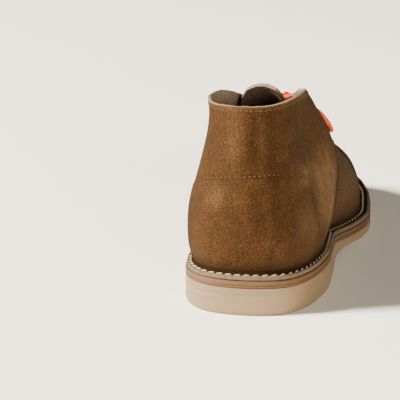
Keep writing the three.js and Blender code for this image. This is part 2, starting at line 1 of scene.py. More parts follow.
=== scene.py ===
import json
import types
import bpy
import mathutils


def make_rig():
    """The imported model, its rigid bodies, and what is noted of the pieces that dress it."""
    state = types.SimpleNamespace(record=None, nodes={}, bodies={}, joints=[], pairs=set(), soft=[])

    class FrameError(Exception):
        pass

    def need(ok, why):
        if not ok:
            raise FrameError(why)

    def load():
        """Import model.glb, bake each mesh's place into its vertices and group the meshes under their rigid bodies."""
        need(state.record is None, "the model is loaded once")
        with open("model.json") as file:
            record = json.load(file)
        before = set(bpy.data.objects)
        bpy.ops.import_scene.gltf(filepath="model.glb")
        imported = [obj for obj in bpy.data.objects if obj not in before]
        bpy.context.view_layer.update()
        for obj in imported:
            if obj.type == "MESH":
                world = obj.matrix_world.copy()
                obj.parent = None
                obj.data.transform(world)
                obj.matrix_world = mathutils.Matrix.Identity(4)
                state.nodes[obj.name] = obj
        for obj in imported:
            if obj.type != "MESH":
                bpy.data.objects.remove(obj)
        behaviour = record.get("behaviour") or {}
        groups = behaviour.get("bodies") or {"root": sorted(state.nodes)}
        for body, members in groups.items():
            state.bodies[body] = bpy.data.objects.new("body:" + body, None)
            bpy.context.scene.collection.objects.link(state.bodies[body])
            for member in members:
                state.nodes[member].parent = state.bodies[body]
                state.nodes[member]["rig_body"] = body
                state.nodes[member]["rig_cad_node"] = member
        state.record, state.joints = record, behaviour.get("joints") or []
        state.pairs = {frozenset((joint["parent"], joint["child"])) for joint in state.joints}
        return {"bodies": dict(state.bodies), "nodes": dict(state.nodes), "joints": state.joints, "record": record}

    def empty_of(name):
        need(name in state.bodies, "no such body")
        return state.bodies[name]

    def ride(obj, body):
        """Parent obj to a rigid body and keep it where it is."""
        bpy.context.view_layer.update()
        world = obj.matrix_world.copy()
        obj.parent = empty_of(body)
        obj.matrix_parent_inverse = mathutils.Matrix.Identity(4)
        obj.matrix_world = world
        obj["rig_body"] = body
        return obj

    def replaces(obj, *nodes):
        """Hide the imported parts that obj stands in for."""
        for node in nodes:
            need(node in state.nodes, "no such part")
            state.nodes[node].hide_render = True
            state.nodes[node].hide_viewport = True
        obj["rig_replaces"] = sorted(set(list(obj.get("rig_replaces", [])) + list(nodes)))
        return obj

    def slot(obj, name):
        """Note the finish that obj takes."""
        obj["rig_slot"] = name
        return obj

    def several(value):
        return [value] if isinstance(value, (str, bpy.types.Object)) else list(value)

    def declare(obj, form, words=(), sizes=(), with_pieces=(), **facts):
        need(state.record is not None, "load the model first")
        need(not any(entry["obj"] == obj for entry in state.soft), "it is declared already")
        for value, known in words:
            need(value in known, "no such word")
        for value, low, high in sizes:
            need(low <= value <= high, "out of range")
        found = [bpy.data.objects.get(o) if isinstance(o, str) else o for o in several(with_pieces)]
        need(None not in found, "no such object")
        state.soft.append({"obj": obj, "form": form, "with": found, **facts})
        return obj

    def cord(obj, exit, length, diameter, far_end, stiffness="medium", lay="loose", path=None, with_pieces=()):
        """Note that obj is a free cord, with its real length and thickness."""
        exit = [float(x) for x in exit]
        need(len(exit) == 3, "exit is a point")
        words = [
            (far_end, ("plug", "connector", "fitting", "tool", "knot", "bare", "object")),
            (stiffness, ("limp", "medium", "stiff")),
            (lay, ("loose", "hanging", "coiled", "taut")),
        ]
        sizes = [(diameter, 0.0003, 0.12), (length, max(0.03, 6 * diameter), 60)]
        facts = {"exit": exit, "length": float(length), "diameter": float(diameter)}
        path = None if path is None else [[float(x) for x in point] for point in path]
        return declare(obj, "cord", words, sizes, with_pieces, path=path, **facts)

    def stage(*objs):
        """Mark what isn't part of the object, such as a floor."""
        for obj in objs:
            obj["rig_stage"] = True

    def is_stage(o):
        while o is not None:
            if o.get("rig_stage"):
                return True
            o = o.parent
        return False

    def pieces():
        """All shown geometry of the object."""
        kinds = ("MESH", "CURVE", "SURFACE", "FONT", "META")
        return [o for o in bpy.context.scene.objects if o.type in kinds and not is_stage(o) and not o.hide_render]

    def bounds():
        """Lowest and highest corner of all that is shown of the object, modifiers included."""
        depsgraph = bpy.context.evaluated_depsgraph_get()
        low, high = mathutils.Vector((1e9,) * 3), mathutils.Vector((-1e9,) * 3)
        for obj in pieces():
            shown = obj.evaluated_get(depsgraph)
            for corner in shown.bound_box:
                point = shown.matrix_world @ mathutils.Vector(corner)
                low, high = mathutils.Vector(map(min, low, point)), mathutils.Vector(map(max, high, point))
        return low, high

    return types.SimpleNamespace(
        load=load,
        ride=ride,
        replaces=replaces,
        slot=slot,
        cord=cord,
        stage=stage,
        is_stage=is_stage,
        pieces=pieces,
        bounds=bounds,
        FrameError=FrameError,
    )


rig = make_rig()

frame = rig.load()

import json

import bpy
import numpy as np
from bpy.props import FloatProperty, FloatVectorProperty, PointerProperty
from mathutils import Matrix, Vector

CAD_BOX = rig.bounds()
SIZE_FILE = "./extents.json"

bl_info = {
    "name": "Suede chukka boot",
    "version": (1, 0, 0),
    "blender": (4, 5, 0),
    "location": "View3D > Sidebar > Boot",
    "description": "Builds one right-foot suede chukka boot around its packed solids",
    "category": "Object",
}

# The boot's form, in millimetres from the back of the heel, as the CAD source gives it
MM = 0.001
SHIFT = np.array([0.383, -147.5, 0.0])
SOLE_LENGTH, BALL_WIDTH, SHAFT_HEIGHT = 295.0, 102.0, 88.5
OUTSOLE_AT_HEEL, OUTSOLE_AT_BALL, WAIST_LIFT, TOE_SPRING = 15.0, 5.5, 3.0, 7.0
WEDGE_STARTS, WEDGE_ENDS, WAIST_STARTS, WAIST_ENDS, SPRING_STARTS = 0.25, 0.57, 0.28, 0.58, 0.76
MIDSOLE_THICKNESS, FLANGE_THICKNESS, FLANGE_SETBACK, GAP = 3.7, 2.3, 0.6, 0.3
WALL, OVERLAY, CREASE_RADIUS, FEATHER_AT_HEEL, FEATHER_AT_TOE = 2.0, 1.5, 2.2, 5.0, 6.0
SEAM_AT, LAP, SEAM_SHARPNESS, TOE_AT = 4.85, 0.3, 0.02, 12.0
HEEL_SEAT = OUTSOLE_AT_HEEL + MIDSOLE_THICKNESS + FLANGE_THICKNESS + 2 * GAP

# at, along, lateral, medial: shares of the sole's length and of the ball's width
OUTLINE = [
    (0, 0, 0, 0), (1, 0.0186, 0.2137, 0.2137), (2, 0.0797, 0.3333, 0.3314), (3, 0.183, 0.391, 0.355),
    (4, 0.2864, 0.386, 0.3255), (5, 0.39, 0.374, 0.307), (6, 0.5, 0.4245, 0.353),
    (7, 0.6136, 0.49, 0.436), (8, 0.7186, 0.476, 0.495), (9, 0.8237, 0.436, 0.485),
    (10, 0.917, 0.338, 0.402), (11, 0.9783, 0.1716, 0.25), (12, 1, -0.039, 0.039),
]
# at, along, lateral, medial, up: where each rib heads as it leaves the sole
LOW = [
    (0, -0.0186, 0, 0, 0.275), (1, 0.005, 0.255, 0.255, 0.275), (2, 0.0847, 0.4167, 0.4167, 0.255),
    (2.7, 0.1525, 0.441, 0.446, 0.245), (3.3, 0.2136, 0.441, 0.4265, 0.235),
    (4.1, 0.2983, 0.412, 0.382, 0.225), (4.85, 0.3797, 0.412, 0.363, 0.222),
    (6, 0.505, 0.48, 0.4216, 0.246), (7, 0.62, 0.475, 0.4755, 0.233), (8, 0.722, 0.44, 0.505, 0.219),
    (9, 0.8237, 0.4, 0.4755, 0.231), (10, 0.9186, 0.338, 0.392, 0.237), (11, 0.98, 0.1716, 0.245, 0.254),
    (12, 1.003, -0.044, 0.044, 0.274),
]
# the same for where each rib comes from as it reaches its top edge
HIGH = [
    (0, 0.0237, 0, 0, 0.7277), (1, 0.0407, 0.1127, 0.1127, 0.7277), (2, 0.0915, 0.181, 0.181, 0.7277),
    (2.7, 0.1627, 0.201, 0.186, 0.705), (3.3, 0.268, 0.3627, 0.2157, 0.773),
    (3.7, 0.312, 0.4555, 0.2647, 0.773), (4.1, 0.3627, 0.4607, 0.304, 0.739),
    (4.5, 0.4136, 0.4656, 0.333, 0.688), (4.85, 0.461, 0.4706, 0.363, 0.637),
    (6, 0.5186, 0.4654, 0.392, 0.4935), (7, 0.583, 0.397, 0.392, 0.4335), (8, 0.637, 0.34, 0.363, 0.4005),
    (9, 0.6746, 0.2745, 0.284, 0.4), (10, 0.698, 0.162, 0.1765, 0.394), (11, 0.7085, 0.059, 0.093, 0.385),
    (12, 0.712, -0.0196, 0.0196, 0.381),
]
# the same for the top edge, with the medial side's own along and up last where it has them
EDGE = [
    (0, 0.0339, 0, 0, 1), (0.7, 0.04, 0.093, 0.093, 0.999, None, 0.997),
    (1.4, 0.061, 0.1765, 0.175, 1.008, None, 0.994), (2.1, 0.105, 0.2304, 0.2255, 1.0147, None, 0.9876),
    (2.7, 0.1695, 0.253, 0.253, 1.012, None, 0.98), (3.15, 0.2407, 0.237, 0.2255, 0.9876, 0.234, 0.968),
    (3.33, 0.273, 0.2196, 0.186, 0.974, 0.264, 0.949), (3.5, 0.2932, 0.181, 0.155, 0.957, 0.286, 0.924),
    (3.75, 0.322, 0.146, 0.1255, 0.911, 0.318, 0.886), (4.1, 0.371, 0.113, 0.098, 0.8237, None, 0.818),
    (4.5, 0.4237, 0.0882, 0.0775, 0.7277), (4.85, 0.4644, 0.0627, 0.0627, 0.654),
    (5.3, 0.4797, 0.055, 0.055, 0.633), (6.5, 0.489, 0.041, 0.041, 0.6215),
    (8, 0.4942, 0.0285, 0.0285, 0.617), (10, 0.4976, 0.0137, 0.0137, 0.6147), (12, 0.4983, 0, 0, 0.6147),
]


def metres(points):
    return (np.asarray(points, float) + SHIFT) * MM


def smooth(share):
    held = np.clip(share, 0, 1)
    return held * held * (3 - 2 * held)


def mirrored(at):
    return 2 * TOE_AT - at


def table_at(at):
    return np.where(at > TOE_AT, mirrored(at), at)


def signed(at):
    """The place from the back of the heel, with the medial side below zero"""
    return np.where(at > TOE_AT, at - 2 * TOE_AT, at)


def both_sides(rows):
    """A closed smooth run through a table, out along the lateral side and back along the medial one"""
    def stop(row, side):
        row = tuple(row) + (0,) * (5 - len(row)) + (None,) * (7 - max(len(row), 5))
        medial = side < 0
        along = row[5] if medial and row[5] is not None else row[1]
        up = row[6] if medial and row[6] is not None else row[4]
        return (-row[3] if medial else row[2]) * BALL_WIDTH, along * SOLE_LENGTH, up * SHAFT_HEIGHT

    stops = [(row[0], stop(row, 1)) for row in rows]
    stops += [(mirrored(row[0]), stop(row, -1)) for row in rows[-2:0:-1]]
    places = np.array([place for place, _ in stops], float)
    points = np.array([point for _, point in stops], float)
    count, period = len(stops), 2 * TOE_AT

    def run(at):
        place = np.mod(np.atleast_1d(np.asarray(at, float)), period)
        index = np.searchsorted(places, place, side="right") - 1

        def pick(step):
            turn, inside = np.divmod(index + step, count)
            return places[inside] + turn * period, points[inside]

        (a0, p0), (a1, p1), (a2, p2), (a3, p3) = (pick(step) for step in (-1, 0, 1, 2))
        width = a2 - a1
        t = ((place - a1) / width)[:, None]
        first = (p2 - p0) * (width / (a2 - a0))[:, None]
        last = (p3 - p1) * (width / (a3 - a1))[:, None]
        return (
            p1 * (2 * t**3 - 3 * t**2 + 1) + first * (t**3 - 2 * t**2 + t)
            + p2 * (3 * t**2 - 2 * t**3) + last * (t**3 - t**2)
        )

    return run


sole_edge, low_run, high_run, edge_run = (both_sides(rows) for rows in (OUTLINE, LOW, HIGH, EDGE))


def toe_spring(y):
    return TOE_SPRING * np.maximum(0, (y / SOLE_LENGTH - SPRING_STARTS) / (1 - SPRING_STARTS)) ** 2


def wedge(y):
    return smooth((y / SOLE_LENGTH - WEDGE_STARTS) / (WEDGE_ENDS - WEDGE_STARTS))


def outsole_bottom(y):
    waist = np.clip((y / SOLE_LENGTH - WAIST_STARTS) / (WAIST_ENDS - WAIST_STARTS), 0, 1)
    return WAIST_LIFT * np.sin(np.pi * waist) ** 2 + toe_spring(y)


def outsole_top(y):
    return OUTSOLE_AT_HEEL + (OUTSOLE_AT_BALL - OUTSOLE_AT_HEEL) * wedge(y) + toe_spring(y)


def midsole_bottom(y):
    return outsole_top(y) + GAP


def midsole_top(y):
    return midsole_bottom(y) + MIDSOLE_THICKNESS


def flange_bottom(y):
    return midsole_top(y) + GAP


def flange_top(y):
    return flange_bottom(y) + FLANGE_THICKNESS


def unit(vectors):
    return vectors / np.maximum(np.linalg.norm(vectors, axis=-1, keepdims=True), 1e-12)


def inwards(at):
    """The way into the foot from the sole's edge, level with the floor"""
    tangent = unit(sole_edge(at + 0.01) - sole_edge(at - 0.01))
    return np.stack([-tangent[:, 1], tangent[:, 0], np.zeros(len(tangent))], axis=1)


def inset_edge(at, inset, height):
    at = np.atleast_1d(np.asarray(at, float))
    points = sole_edge(at) + inwards(at) * np.broadcast_to(inset, at.shape)[:, None]
    points[:, 2] = height(points[:, 1])
    return points


def feather(at):
    inset = FEATHER_AT_HEEL + (FEATHER_AT_TOE - FEATHER_AT_HEEL) * wedge(sole_edge(at)[:, 1])
    return inset_edge(at, inset, flange_top)


def last_surface(at, share):
    """The outer surface of the quarters, carried on forwards a little above the vamp"""
    at = np.atleast_1d(np.asarray(at, float))
    t = np.broadcast_to(share, at.shape)[:, None]
    foot = feather(at)
    low = low_run(at) + np.stack([np.zeros(len(at)), np.zeros(len(at)), foot[:, 2]], axis=1)
    seat = np.array([0, 0, HEEL_SEAT])
    high, edge = high_run(at) + seat, edge_run(at) + seat
    return foot * (1 - t) ** 3 + low * 3 * t * (1 - t) ** 2 + high * 3 * t**2 * (1 - t) + edge * t**3


def last_normal(at, share):
    at = np.atleast_1d(np.asarray(at, float))
    share = np.broadcast_to(share, at.shape)
    step = 0.004
    up = np.minimum(share + step, 1)
    around = last_surface(at + step, share) - last_surface(at - step, share)
    return unit(np.cross(around, last_surface(at, up) - last_surface(at, up - 2 * step)))


def off_last(at, share, height):
    """Points off the quarters' outer surface by a height, which is below zero inside it"""
    return last_surface(at, share) + last_normal(at, share) * np.broadcast_to(height, np.shape(at))[..., None]


def share_below_edge(at, length):
    reach = np.linalg.norm(last_surface(at, 1) - last_surface(at, 0.9), axis=1)
    return 1 - 0.1 * np.asarray(length) / reach


def outer_depth(at):
    return np.where(table_at(at) <= SEAM_AT + 1e-9, 0, OVERLAY)


def inner_depth(at):
    return np.where(table_at(at) < SEAM_AT - LAP, WALL, OVERLAY + WALL)


# Making pieces: merging distances in metres, and the most that two paired triangles turn
GRID_DOUBLES, NODE_DOUBLES, PAIRING_ANGLE = 2e-6, 1e-5, np.radians(60)


def deselect():
    if bpy.context.mode != "OBJECT":
        bpy.ops.object.mode_set(mode="OBJECT")
    bpy.ops.object.select_all(action="DESELECT")


def pick(piece):
    """Selects one piece alone and makes it the active one"""
    deselect()
    piece.select_set(True)
    bpy.context.view_layer.objects.active = piece


def apply_modifier(piece, kind, **settings):
    pick(piece)
    modifier = piece.modifiers.new(kind.title(), kind)
    for key, value in settings.items():
        setattr(modifier, key, value)
    bpy.ops.object.modifier_apply(modifier=modifier.name)


def smooth_shade(piece, degrees):
    pick(piece)
    bpy.ops.object.shade_smooth_by_angle(angle=np.radians(degrees))


def merge_doubles(piece, distance):
    """Merges a piece's doubles and leaves it in edit mode, all selected"""
    pick(piece)
    bpy.ops.object.mode_set(mode="EDIT")
    bpy.ops.mesh.select_all(action="SELECT")
    bpy.ops.mesh.remove_doubles(threshold=distance)


def vertex_values(mesh, name):
    values = np.zeros(len(mesh.vertices) * 3, np.float32)
    mesh.vertices.foreach_get(name, values)
    return values.reshape(-1, 3)


def move_vertices(mesh, points):
    mesh.vertices.foreach_set("co", np.ascontiguousarray(points, np.float32).ravel())
    mesh.update()


def set_attribute(mesh, name, values):
    attribute = mesh.attributes.new(name, "FLOAT", "POINT")
    attribute.data.foreach_set("value", np.ascontiguousarray(values, np.float32).ravel())


def shaped_grid(name, points, uvs=None, **attributes):
    """A grid primitive with each vertex moved to its own place; points has one row a station"""
    rows, columns = points.shape[:2]
    deselect()
    bpy.ops.mesh.primitive_grid_add(x_subdivisions=columns - 1, y_subdivisions=rows - 1, size=1)
    piece = bpy.context.active_object
    piece.name = piece.data.name = name
    mesh = piece.data
    if len(mesh.vertices) != rows * columns:
        raise RuntimeError(f"{name}: the grid has {len(mesh.vertices)} vertices and not {rows * columns}")
    move_vertices(mesh, points)
    if uvs is not None:
        corners = np.zeros(len(mesh.loops), np.int32)
        mesh.loops.foreach_get("vertex_index", corners)
        flat = np.ascontiguousarray(uvs, np.float32).reshape(-1, 2)[corners]
        mesh.uv_layers.active.data.foreach_set("uv", flat.ravel())
    for key, values in attributes.items():
        set_attribute(mesh, key, np.broadcast_to(values, (rows, columns)))
    merge_doubles(piece, GRID_DOUBLES)
    bpy.ops.mesh.normals_make_consistent(inside=False)
    bpy.ops.object.mode_set(mode="OBJECT")
    return piece


def copy_of_node(node, name):
    """A copy of a CAD node with its corners joined and its triangles paired"""
    source = frame["nodes"][node]
    piece = source.copy()
    piece.data = source.data.copy()
    piece.name = piece.data.name = name
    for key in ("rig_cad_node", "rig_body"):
        del piece[key]
    piece.parent = None
    bpy.context.scene.collection.objects.link(piece)
    merge_doubles(piece, NODE_DOUBLES)
    bpy.ops.mesh.tris_convert_to_quads(face_threshold=PAIRING_ANGLE, shape_threshold=PAIRING_ANGLE)
    bpy.ops.object.mode_set(mode="OBJECT")
    return piece


def repeated(model, places, name):
    """One piece of many copies of a model, each at its own matrix; the model itself goes"""
    copies = []
    for matrix in places:
        copy = model.copy()
        copy.data = model.data.copy()
        copy.data.transform(matrix)
        bpy.context.scene.collection.objects.link(copy)
        copies.append(copy)
    bpy.data.objects.remove(model)
    deselect()
    for copy in copies:
        copy.select_set(True)
    bpy.context.view_layer.objects.active = copies[0]
    bpy.ops.object.join()
    piece = bpy.context.active_object
    piece.name = piece.data.name = name
    return piece


def finished(piece, material, slot, *nodes):
    """Gives a piece its finish, sets it on the boot and says which solids it stands for"""
    piece.data.materials.clear()
    piece.data.materials.append(material)
    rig.ride(piece, "root")
    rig.slot(piece, slot)
    if nodes:
        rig.replaces(piece, *nodes)
    return piece


def through(points, count):
    """Evenly spaced places along a smooth run through some points, and its length"""
    points = np.asarray(points, float)
    run = np.vstack([2 * points[0] - points[1], points, 2 * points[-1] - points[-2]])
    knots = np.concatenate([[0], np.cumsum(np.linalg.norm(np.diff(run, axis=0), axis=1) ** 0.5)])

    def mix(a, b, ka, kb, t):
        return (a * (kb - t) + b * (t - ka)) / (kb - ka)

    dense = []
    for i in range(1, len(run) - 2):
        p, k = run[i - 1:i + 3], knots[i - 1:i + 3]
        t = np.linspace(k[1], k[2], 30, endpoint=False)[:, None]
        a = [mix(p[j], p[j + 1], k[j], k[j + 1], t) for j in range(3)]
        b = [mix(a[j], a[j + 1], k[j], k[j + 2], t) for j in range(2)]
        dense.append(mix(b[0], b[1], k[1], k[2], t))
    dense = np.vstack([*dense, points[-1:]])
    lengths = np.concatenate([[0], np.cumsum(np.linalg.norm(np.diff(dense, axis=0), axis=1))])
    even = np.linspace(0, lengths[-1], count)
    return np.stack([np.interp(even, lengths, dense[:, k]) for k in range(3)], axis=1), lengths[-1]


def ring_frames(centres):
    """Two directions across a run at each of its places, which don't twist along it"""
    tangents = unit(np.gradient(centres, axis=0))
    side = unit(np.cross(tangents[0], [0.3, 0.2, 1.0]))
    across = []
    for tangent in tangents:
        side = unit(side - tangent * (side @ tangent))
        across.append((side, np.cross(tangent, side)))
    return np.array(across)


def tube_points(centres, radii, turn):
    """Rings of points round a run in millimetres, each with its own radii, in metres"""
    frames = ring_frames(centres)
    out = np.cos(turn)[None, :, None] * frames[:, None, 0] + np.sin(turn)[None, :, None] * frames[:, None, 1]
    return (centres[:, None] + radii[..., None] * out) * MM


def cord_tube(name, route, diameter, spacing=0.32, sides=18):
    """A round braided cord along a route in millimetres, with rounded ends, and its centreline in metres"""
    _, length = through(route, 2)
    centres, _ = through(route, int(length / spacing) + 2)
    along = np.linspace(0, length, len(centres))
    radius = diameter / 2
    turn = np.linspace(0, 2 * np.pi, sides + 1)
    first = np.cos(BRAID_STRANDS * turn[None] + BRAID_TURNS * along[:, None] / diameter)
    second = np.cos(BRAID_STRANDS * turn[None] - BRAID_TURNS * along[:, None] / diameter)
    relief = BRAID_DEPTH * np.maximum(first, second)
    from_end = np.minimum(along, length - along) / radius
    rounding = np.sqrt(np.clip(from_end * (2 - from_end), 0, 1)) * (from_end < 1) + (from_end >= 1)
    rings = radius * (1 - BRAID_DEPTH + relief) * rounding[:, None]
    uvs = np.stack(np.broadcast_arrays(along[:, None] * MM, turn[None] * radius * MM), axis=-1)
    path = [tuple(point) for point in centres[::PATH_STEP] * MM] + [tuple(centres[-1] * MM)]
    return shaped_grid(name, tube_points(centres, rings, turn), uvs), path


# Finishes

class Finish:
    """A material being made: its nodes, and the shader that they feed"""

    def __init__(self, name, **shader_values):
        self.material = bpy.data.materials.new(name)
        self.material.use_nodes = True
        self.tree = self.material.node_tree
        self.shader = self.tree.nodes["Principled BSDF"]
        for key, value in shader_values.items():
            self.shader.inputs[key.replace("_", " ").title().replace("Ior", "IOR")].default_value = value

    def node(self, kind, settings=None, **inputs):
        node = self.tree.nodes.new(kind)
        for key, value in (settings or {}).items():
            setattr(node, key, value)
        for key, value in inputs.items():
            self.feed(node.inputs[key.replace("_", " ").title()], value)
        return node

    def feed(self, socket, value):
        if isinstance(value, bpy.types.NodeSocket):
            self.tree.links.new(value, socket)
        else:
            socket.default_value = value

    def coordinates(self, kind="Object"):
        return self.node("ShaderNodeTexCoord").outputs[kind]

    def attribute(self, name):
        return self.node("ShaderNodeAttribute", {"attribute_name": name}).outputs["Fac"]

    def noise(self, scale, detail=3.0, roughness=0.6, stretch=None, kind="Object"):
        vector = self.coordinates(kind)
        if stretch:
            vector = self.node("ShaderNodeMapping", vector=vector, scale=stretch).outputs["Vector"]
        inputs = {"vector": vector, "scale": scale, "detail": detail, "roughness": roughness}
        return self.node("ShaderNodeTexNoise", **inputs).outputs["Fac"]

    def spread(self, value, low, high, to_low=0.0, to_high=1.0):
        node = self.node("ShaderNodeMapRange", {"interpolation_type": "SMOOTHSTEP"})
        for socket, given in zip(node.inputs, (value, low, high, to_low, to_high)):
            self.feed(socket, given)
        return node.outputs["Result"]

    def maths(self, operation, first, second=0.0):
        node = self.node("ShaderNodeMath", {"operation": operation})
        self.feed(node.inputs[0], first)
        self.feed(node.inputs[1], second)
        return node.outputs["Value"]

    def mix(self, factor, first, second, blend="MIX"):
        node = self.node("ShaderNodeMix", {"data_type": "RGBA", "blend_type": blend})
        self.feed(node.inputs[0], factor)
        self.feed(node.inputs[6], first)
        self.feed(node.inputs[7], second)
        return node.outputs[2]

    def two_tone(self, value, low, high, colour, dark, light):
        return self.mix(self.spread(value, low, high), rgba(colour, dark), rgba(colour, light))

    def colour(self, value):
        self.feed(self.shader.inputs["Base Color"], value)

    def roughness(self, value):
        self.feed(self.shader.inputs["Roughness"], value)

    def bump(self, height, distance, strength=1.0):
        node = self.node("ShaderNodeBump", height=height, distance=distance, strength=strength)
        last = self.shader.inputs["Normal"].links
        if last:
            self.feed(node.inputs["Normal"], last[0].from_socket)
        self.feed(self.shader.inputs["Normal"], node.outputs["Normal"])


def rgba(colour, gain=1.0):
    return (*(min(1.0, channel * gain) for channel in colour[:3]), 1.0)


# what the suede's colour is multiplied by between the hairs of its nap, and at their tips
NAP_HOLLOWS, NAP_TIPS = (0.4, 0.38, 0.36, 1.0), (1.65, 1.75, 1.95, 1.0)


def suede_finish(settings):
    """Suede with a brushed nap, its beige flesh side within, and fuzzy cut edges, with painted shade and a painted
    highlight where its attributes ask for them
    """
    finish = Finish("brushed_suede", sheen_weight=0.015, sheen_roughness=0.5, specular_ior_level=0.04)
    finish.shader.inputs["Sheen Tint"].default_value = rgba((1.0, 0.82, 0.6))
    patches = finish.spread(finish.noise(38, 5, 0.62, (1, 0.8, 0.55)), 0.36, 0.66)
    brushed = finish.spread(finish.noise(150, 4, 0.7, (1, 1, 0.45)), 0.32, 0.7)
    grain = finish.noise(1440, 4, 0.9)
    colour = finish.mix(patches, rgba(settings.colour, 0.8), rgba(settings.colour, 1.12))
    colour = finish.mix(finish.maths("MULTIPLY", brushed, 0.5), colour, rgba(settings.colour, 1.35))
    # lighter brushed nap with a painted highlight, from the vertex attribute
    rubbed = finish.maths("MULTIPLY", finish.attribute("rubbed"), finish.spread(brushed, 0.0, 1.0, 0.65, 1.0))
    colour = finish.mix(rubbed, colour, rgba(settings.rubbed_colour))
    colour = finish.mix(finish.spread(grain, 0.38, 0.6), colour, NAP_HOLLOWS, "MULTIPLY")
    colour = finish.mix(finish.spread(grain, 0.5, 0.34, 0.0, 0.7), colour, NAP_TIPS, "MULTIPLY")
    fibres = finish.noise(900, 6, 0.8)
    flesh = finish.two_tone(fibres, 0.3, 0.7, settings.flesh_colour, 0.4, 1.2)
    inner = finish.spread(finish.attribute("flesh"), 0.35, 0.65)
    colour = finish.mix(inner, colour, flesh)
    # painted shade, darker where the shade attribute says
    colour = finish.mix(finish.attribute("shade"), colour, rgba(settings.colour, 0.25))
    finish.colour(colour)
    finish.roughness(finish.spread(grain, 0.3, 0.7, 0.82, 1.0))
    finish.bump(grain, 0.0006, 1.0)
    finish.bump(finish.noise(420, 3, 0.6), 0.0004, 0.5)
    finish.bump(fibres, 0.0002, 0.4)
    return finish.material


# share of the midsole's height at which its two layers meet
LAYER_JOINT = 0.36


def leather_finish(name, colour, settings, layers=False):
    """Vegetable-tanned leather: smooth on its face, and fibrous and layered on its cut edge"""
    finish = Finish(name, specular_ior_level=0.3)
    grain = finish.noise(700, 5, 0.7)
    tone = finish.noise(30, 4, 0.6)
    base = finish.two_tone(tone, 0.35, 0.68, colour, 0.86, 1.1)
    base = finish.mix(finish.spread(grain, 0.35, 0.7, 0.0, 0.4), base, rgba(colour, 0.7))
    if layers:
        height = finish.node("ShaderNodeSeparateXYZ", vector=finish.coordinates("UV")).outputs["Y"]
        streaks = finish.noise(1.0, 4, 0.6, (60, 22, 1), "UV")
        base = finish.mix(finish.spread(streaks, 0.42, 0.66, 0.0, 0.5), base, rgba(settings.layer_colour))
        lower = finish.spread(height, LAYER_JOINT, 0.28, 0.0, 0.25)
        base = finish.mix(lower, base, rgba(settings.layer_colour, 0.9))
        joint = finish.maths("ABSOLUTE", finish.maths("SUBTRACT", height, LAYER_JOINT))
        base = finish.mix(finish.spread(joint, 0.045, 0.01, 0.0, 0.15), base, rgba(colour, 0.35))
        finish.bump(streaks, 0.0003, 0.6)
    finish.colour(base)
    finish.roughness(finish.spread(grain, 0.3, 0.7, 0.55, 0.8))
    finish.bump(grain, 0.00012, 0.7)
    return finish.material


def rubber_finish(settings):
    """Cream rubber that lets some light in, with faint lines along its side, darker towards the foot of its side, and
    scuffs below
    """
    finish = Finish("cream_rubber", specular_ior_level=0.45, subsurface_weight=0.25, subsurface_scale=0.006)
    finish.shader.inputs["Subsurface Radius"].default_value = (1.0, 0.72, 0.45)
    height = finish.node("ShaderNodeSeparateXYZ", vector=finish.coordinates("UV")).outputs["Y"]
    lines = finish.noise(1.0, 3, 0.55, (5, 26, 1), "UV")
    cloud = finish.noise(28, 4, 0.6)
    base = finish.two_tone(cloud, 0.35, 0.7, settings.rubber_colour, 0.93, 1.06)
    base = finish.mix(finish.spread(lines, 0.4, 0.66, 0.0, 0.3), base, rgba(settings.rubber_colour, 0.78))
    base = finish.mix(finish.spread(height, 0.55, 1.0, 0.0, 0.5), base, rgba(settings.rubber_shade))
    # darker towards the foot of the side, and dirt on the underside
    base = finish.mix(finish.attribute("worn"), base, rgba(settings.rubber_colour, 0.6))
    finish.colour(base)
    finish.roughness(finish.spread(cloud, 0.3, 0.7, 0.42, 0.6))
    finish.bump(lines, 0.00015, 0.5)
    finish.bump(finish.noise(600, 3, 0.6), 0.00005, 0.5)
    return finish.material


def thread_finish(name, colour):
    finish = Finish(name, specular_ior_level=0.15)
    twist = finish.noise(1600, 3, 0.7)
    finish.colour(finish.two_tone(twist, 0.35, 0.65, colour, 0.68, 1.08))
    finish.roughness(finish.spread(twist, 0.3, 0.7, 0.7, 0.95))
    finish.bump(twist, 0.0002, 0.8)
    return finish.material


def lace_finish(settings):
    """Braided cord: fine yarns that run round it both ways"""
    finish = Finish("braided_lace", specular_ior_level=0.2)
    yarns = finish.noise(1.0, 2, 0.5, (900, 3200, 1), "UV")
    tone = finish.noise(260, 3, 0.6)
    base = finish.two_tone(yarns, 0.38, 0.62, settings.colour, 0.68, 1.12)
    base = finish.mix(finish.spread(tone, 0.3, 0.7, 0.0, 0.3), base, rgba(settings.colour, 0.75))
    finish.colour(base)
    finish.roughness(finish.spread(yarns, 0.3, 0.7, 0.6, 0.85))
    finish.bump(yarns, 0.00012, 0.7)
    return finish.material


def tip_finish(settings):
    finish = Finish("lace_tip", specular_ior_level=0.5)
    haze = finish.noise(500, 3, 0.6)
    finish.colour(finish.two_tone(haze, 0.35, 0.65, settings.tip_colour, 0.8, 1.1))
    finish.roughness(finish.spread(haze, 0.3, 0.7, 0.25, 0.4))
    finish.bump(haze, 0.00003, 0.6)
    return finish.material


def floor_finish(settings):
    finish = Finish("pale_floor", specular_ior_level=0.1)
    paper = finish.noise(9, 4, 0.6)
    finish.colour(finish.two_tone(paper, 0.3, 0.7, settings.floor_colour, 0.99, 1.0))
    finish.roughness(finish.spread(paper, 0.3, 0.7, 0.9, 0.97))
    return finish.material


# The upper's own surface, with its dents, creases and seams

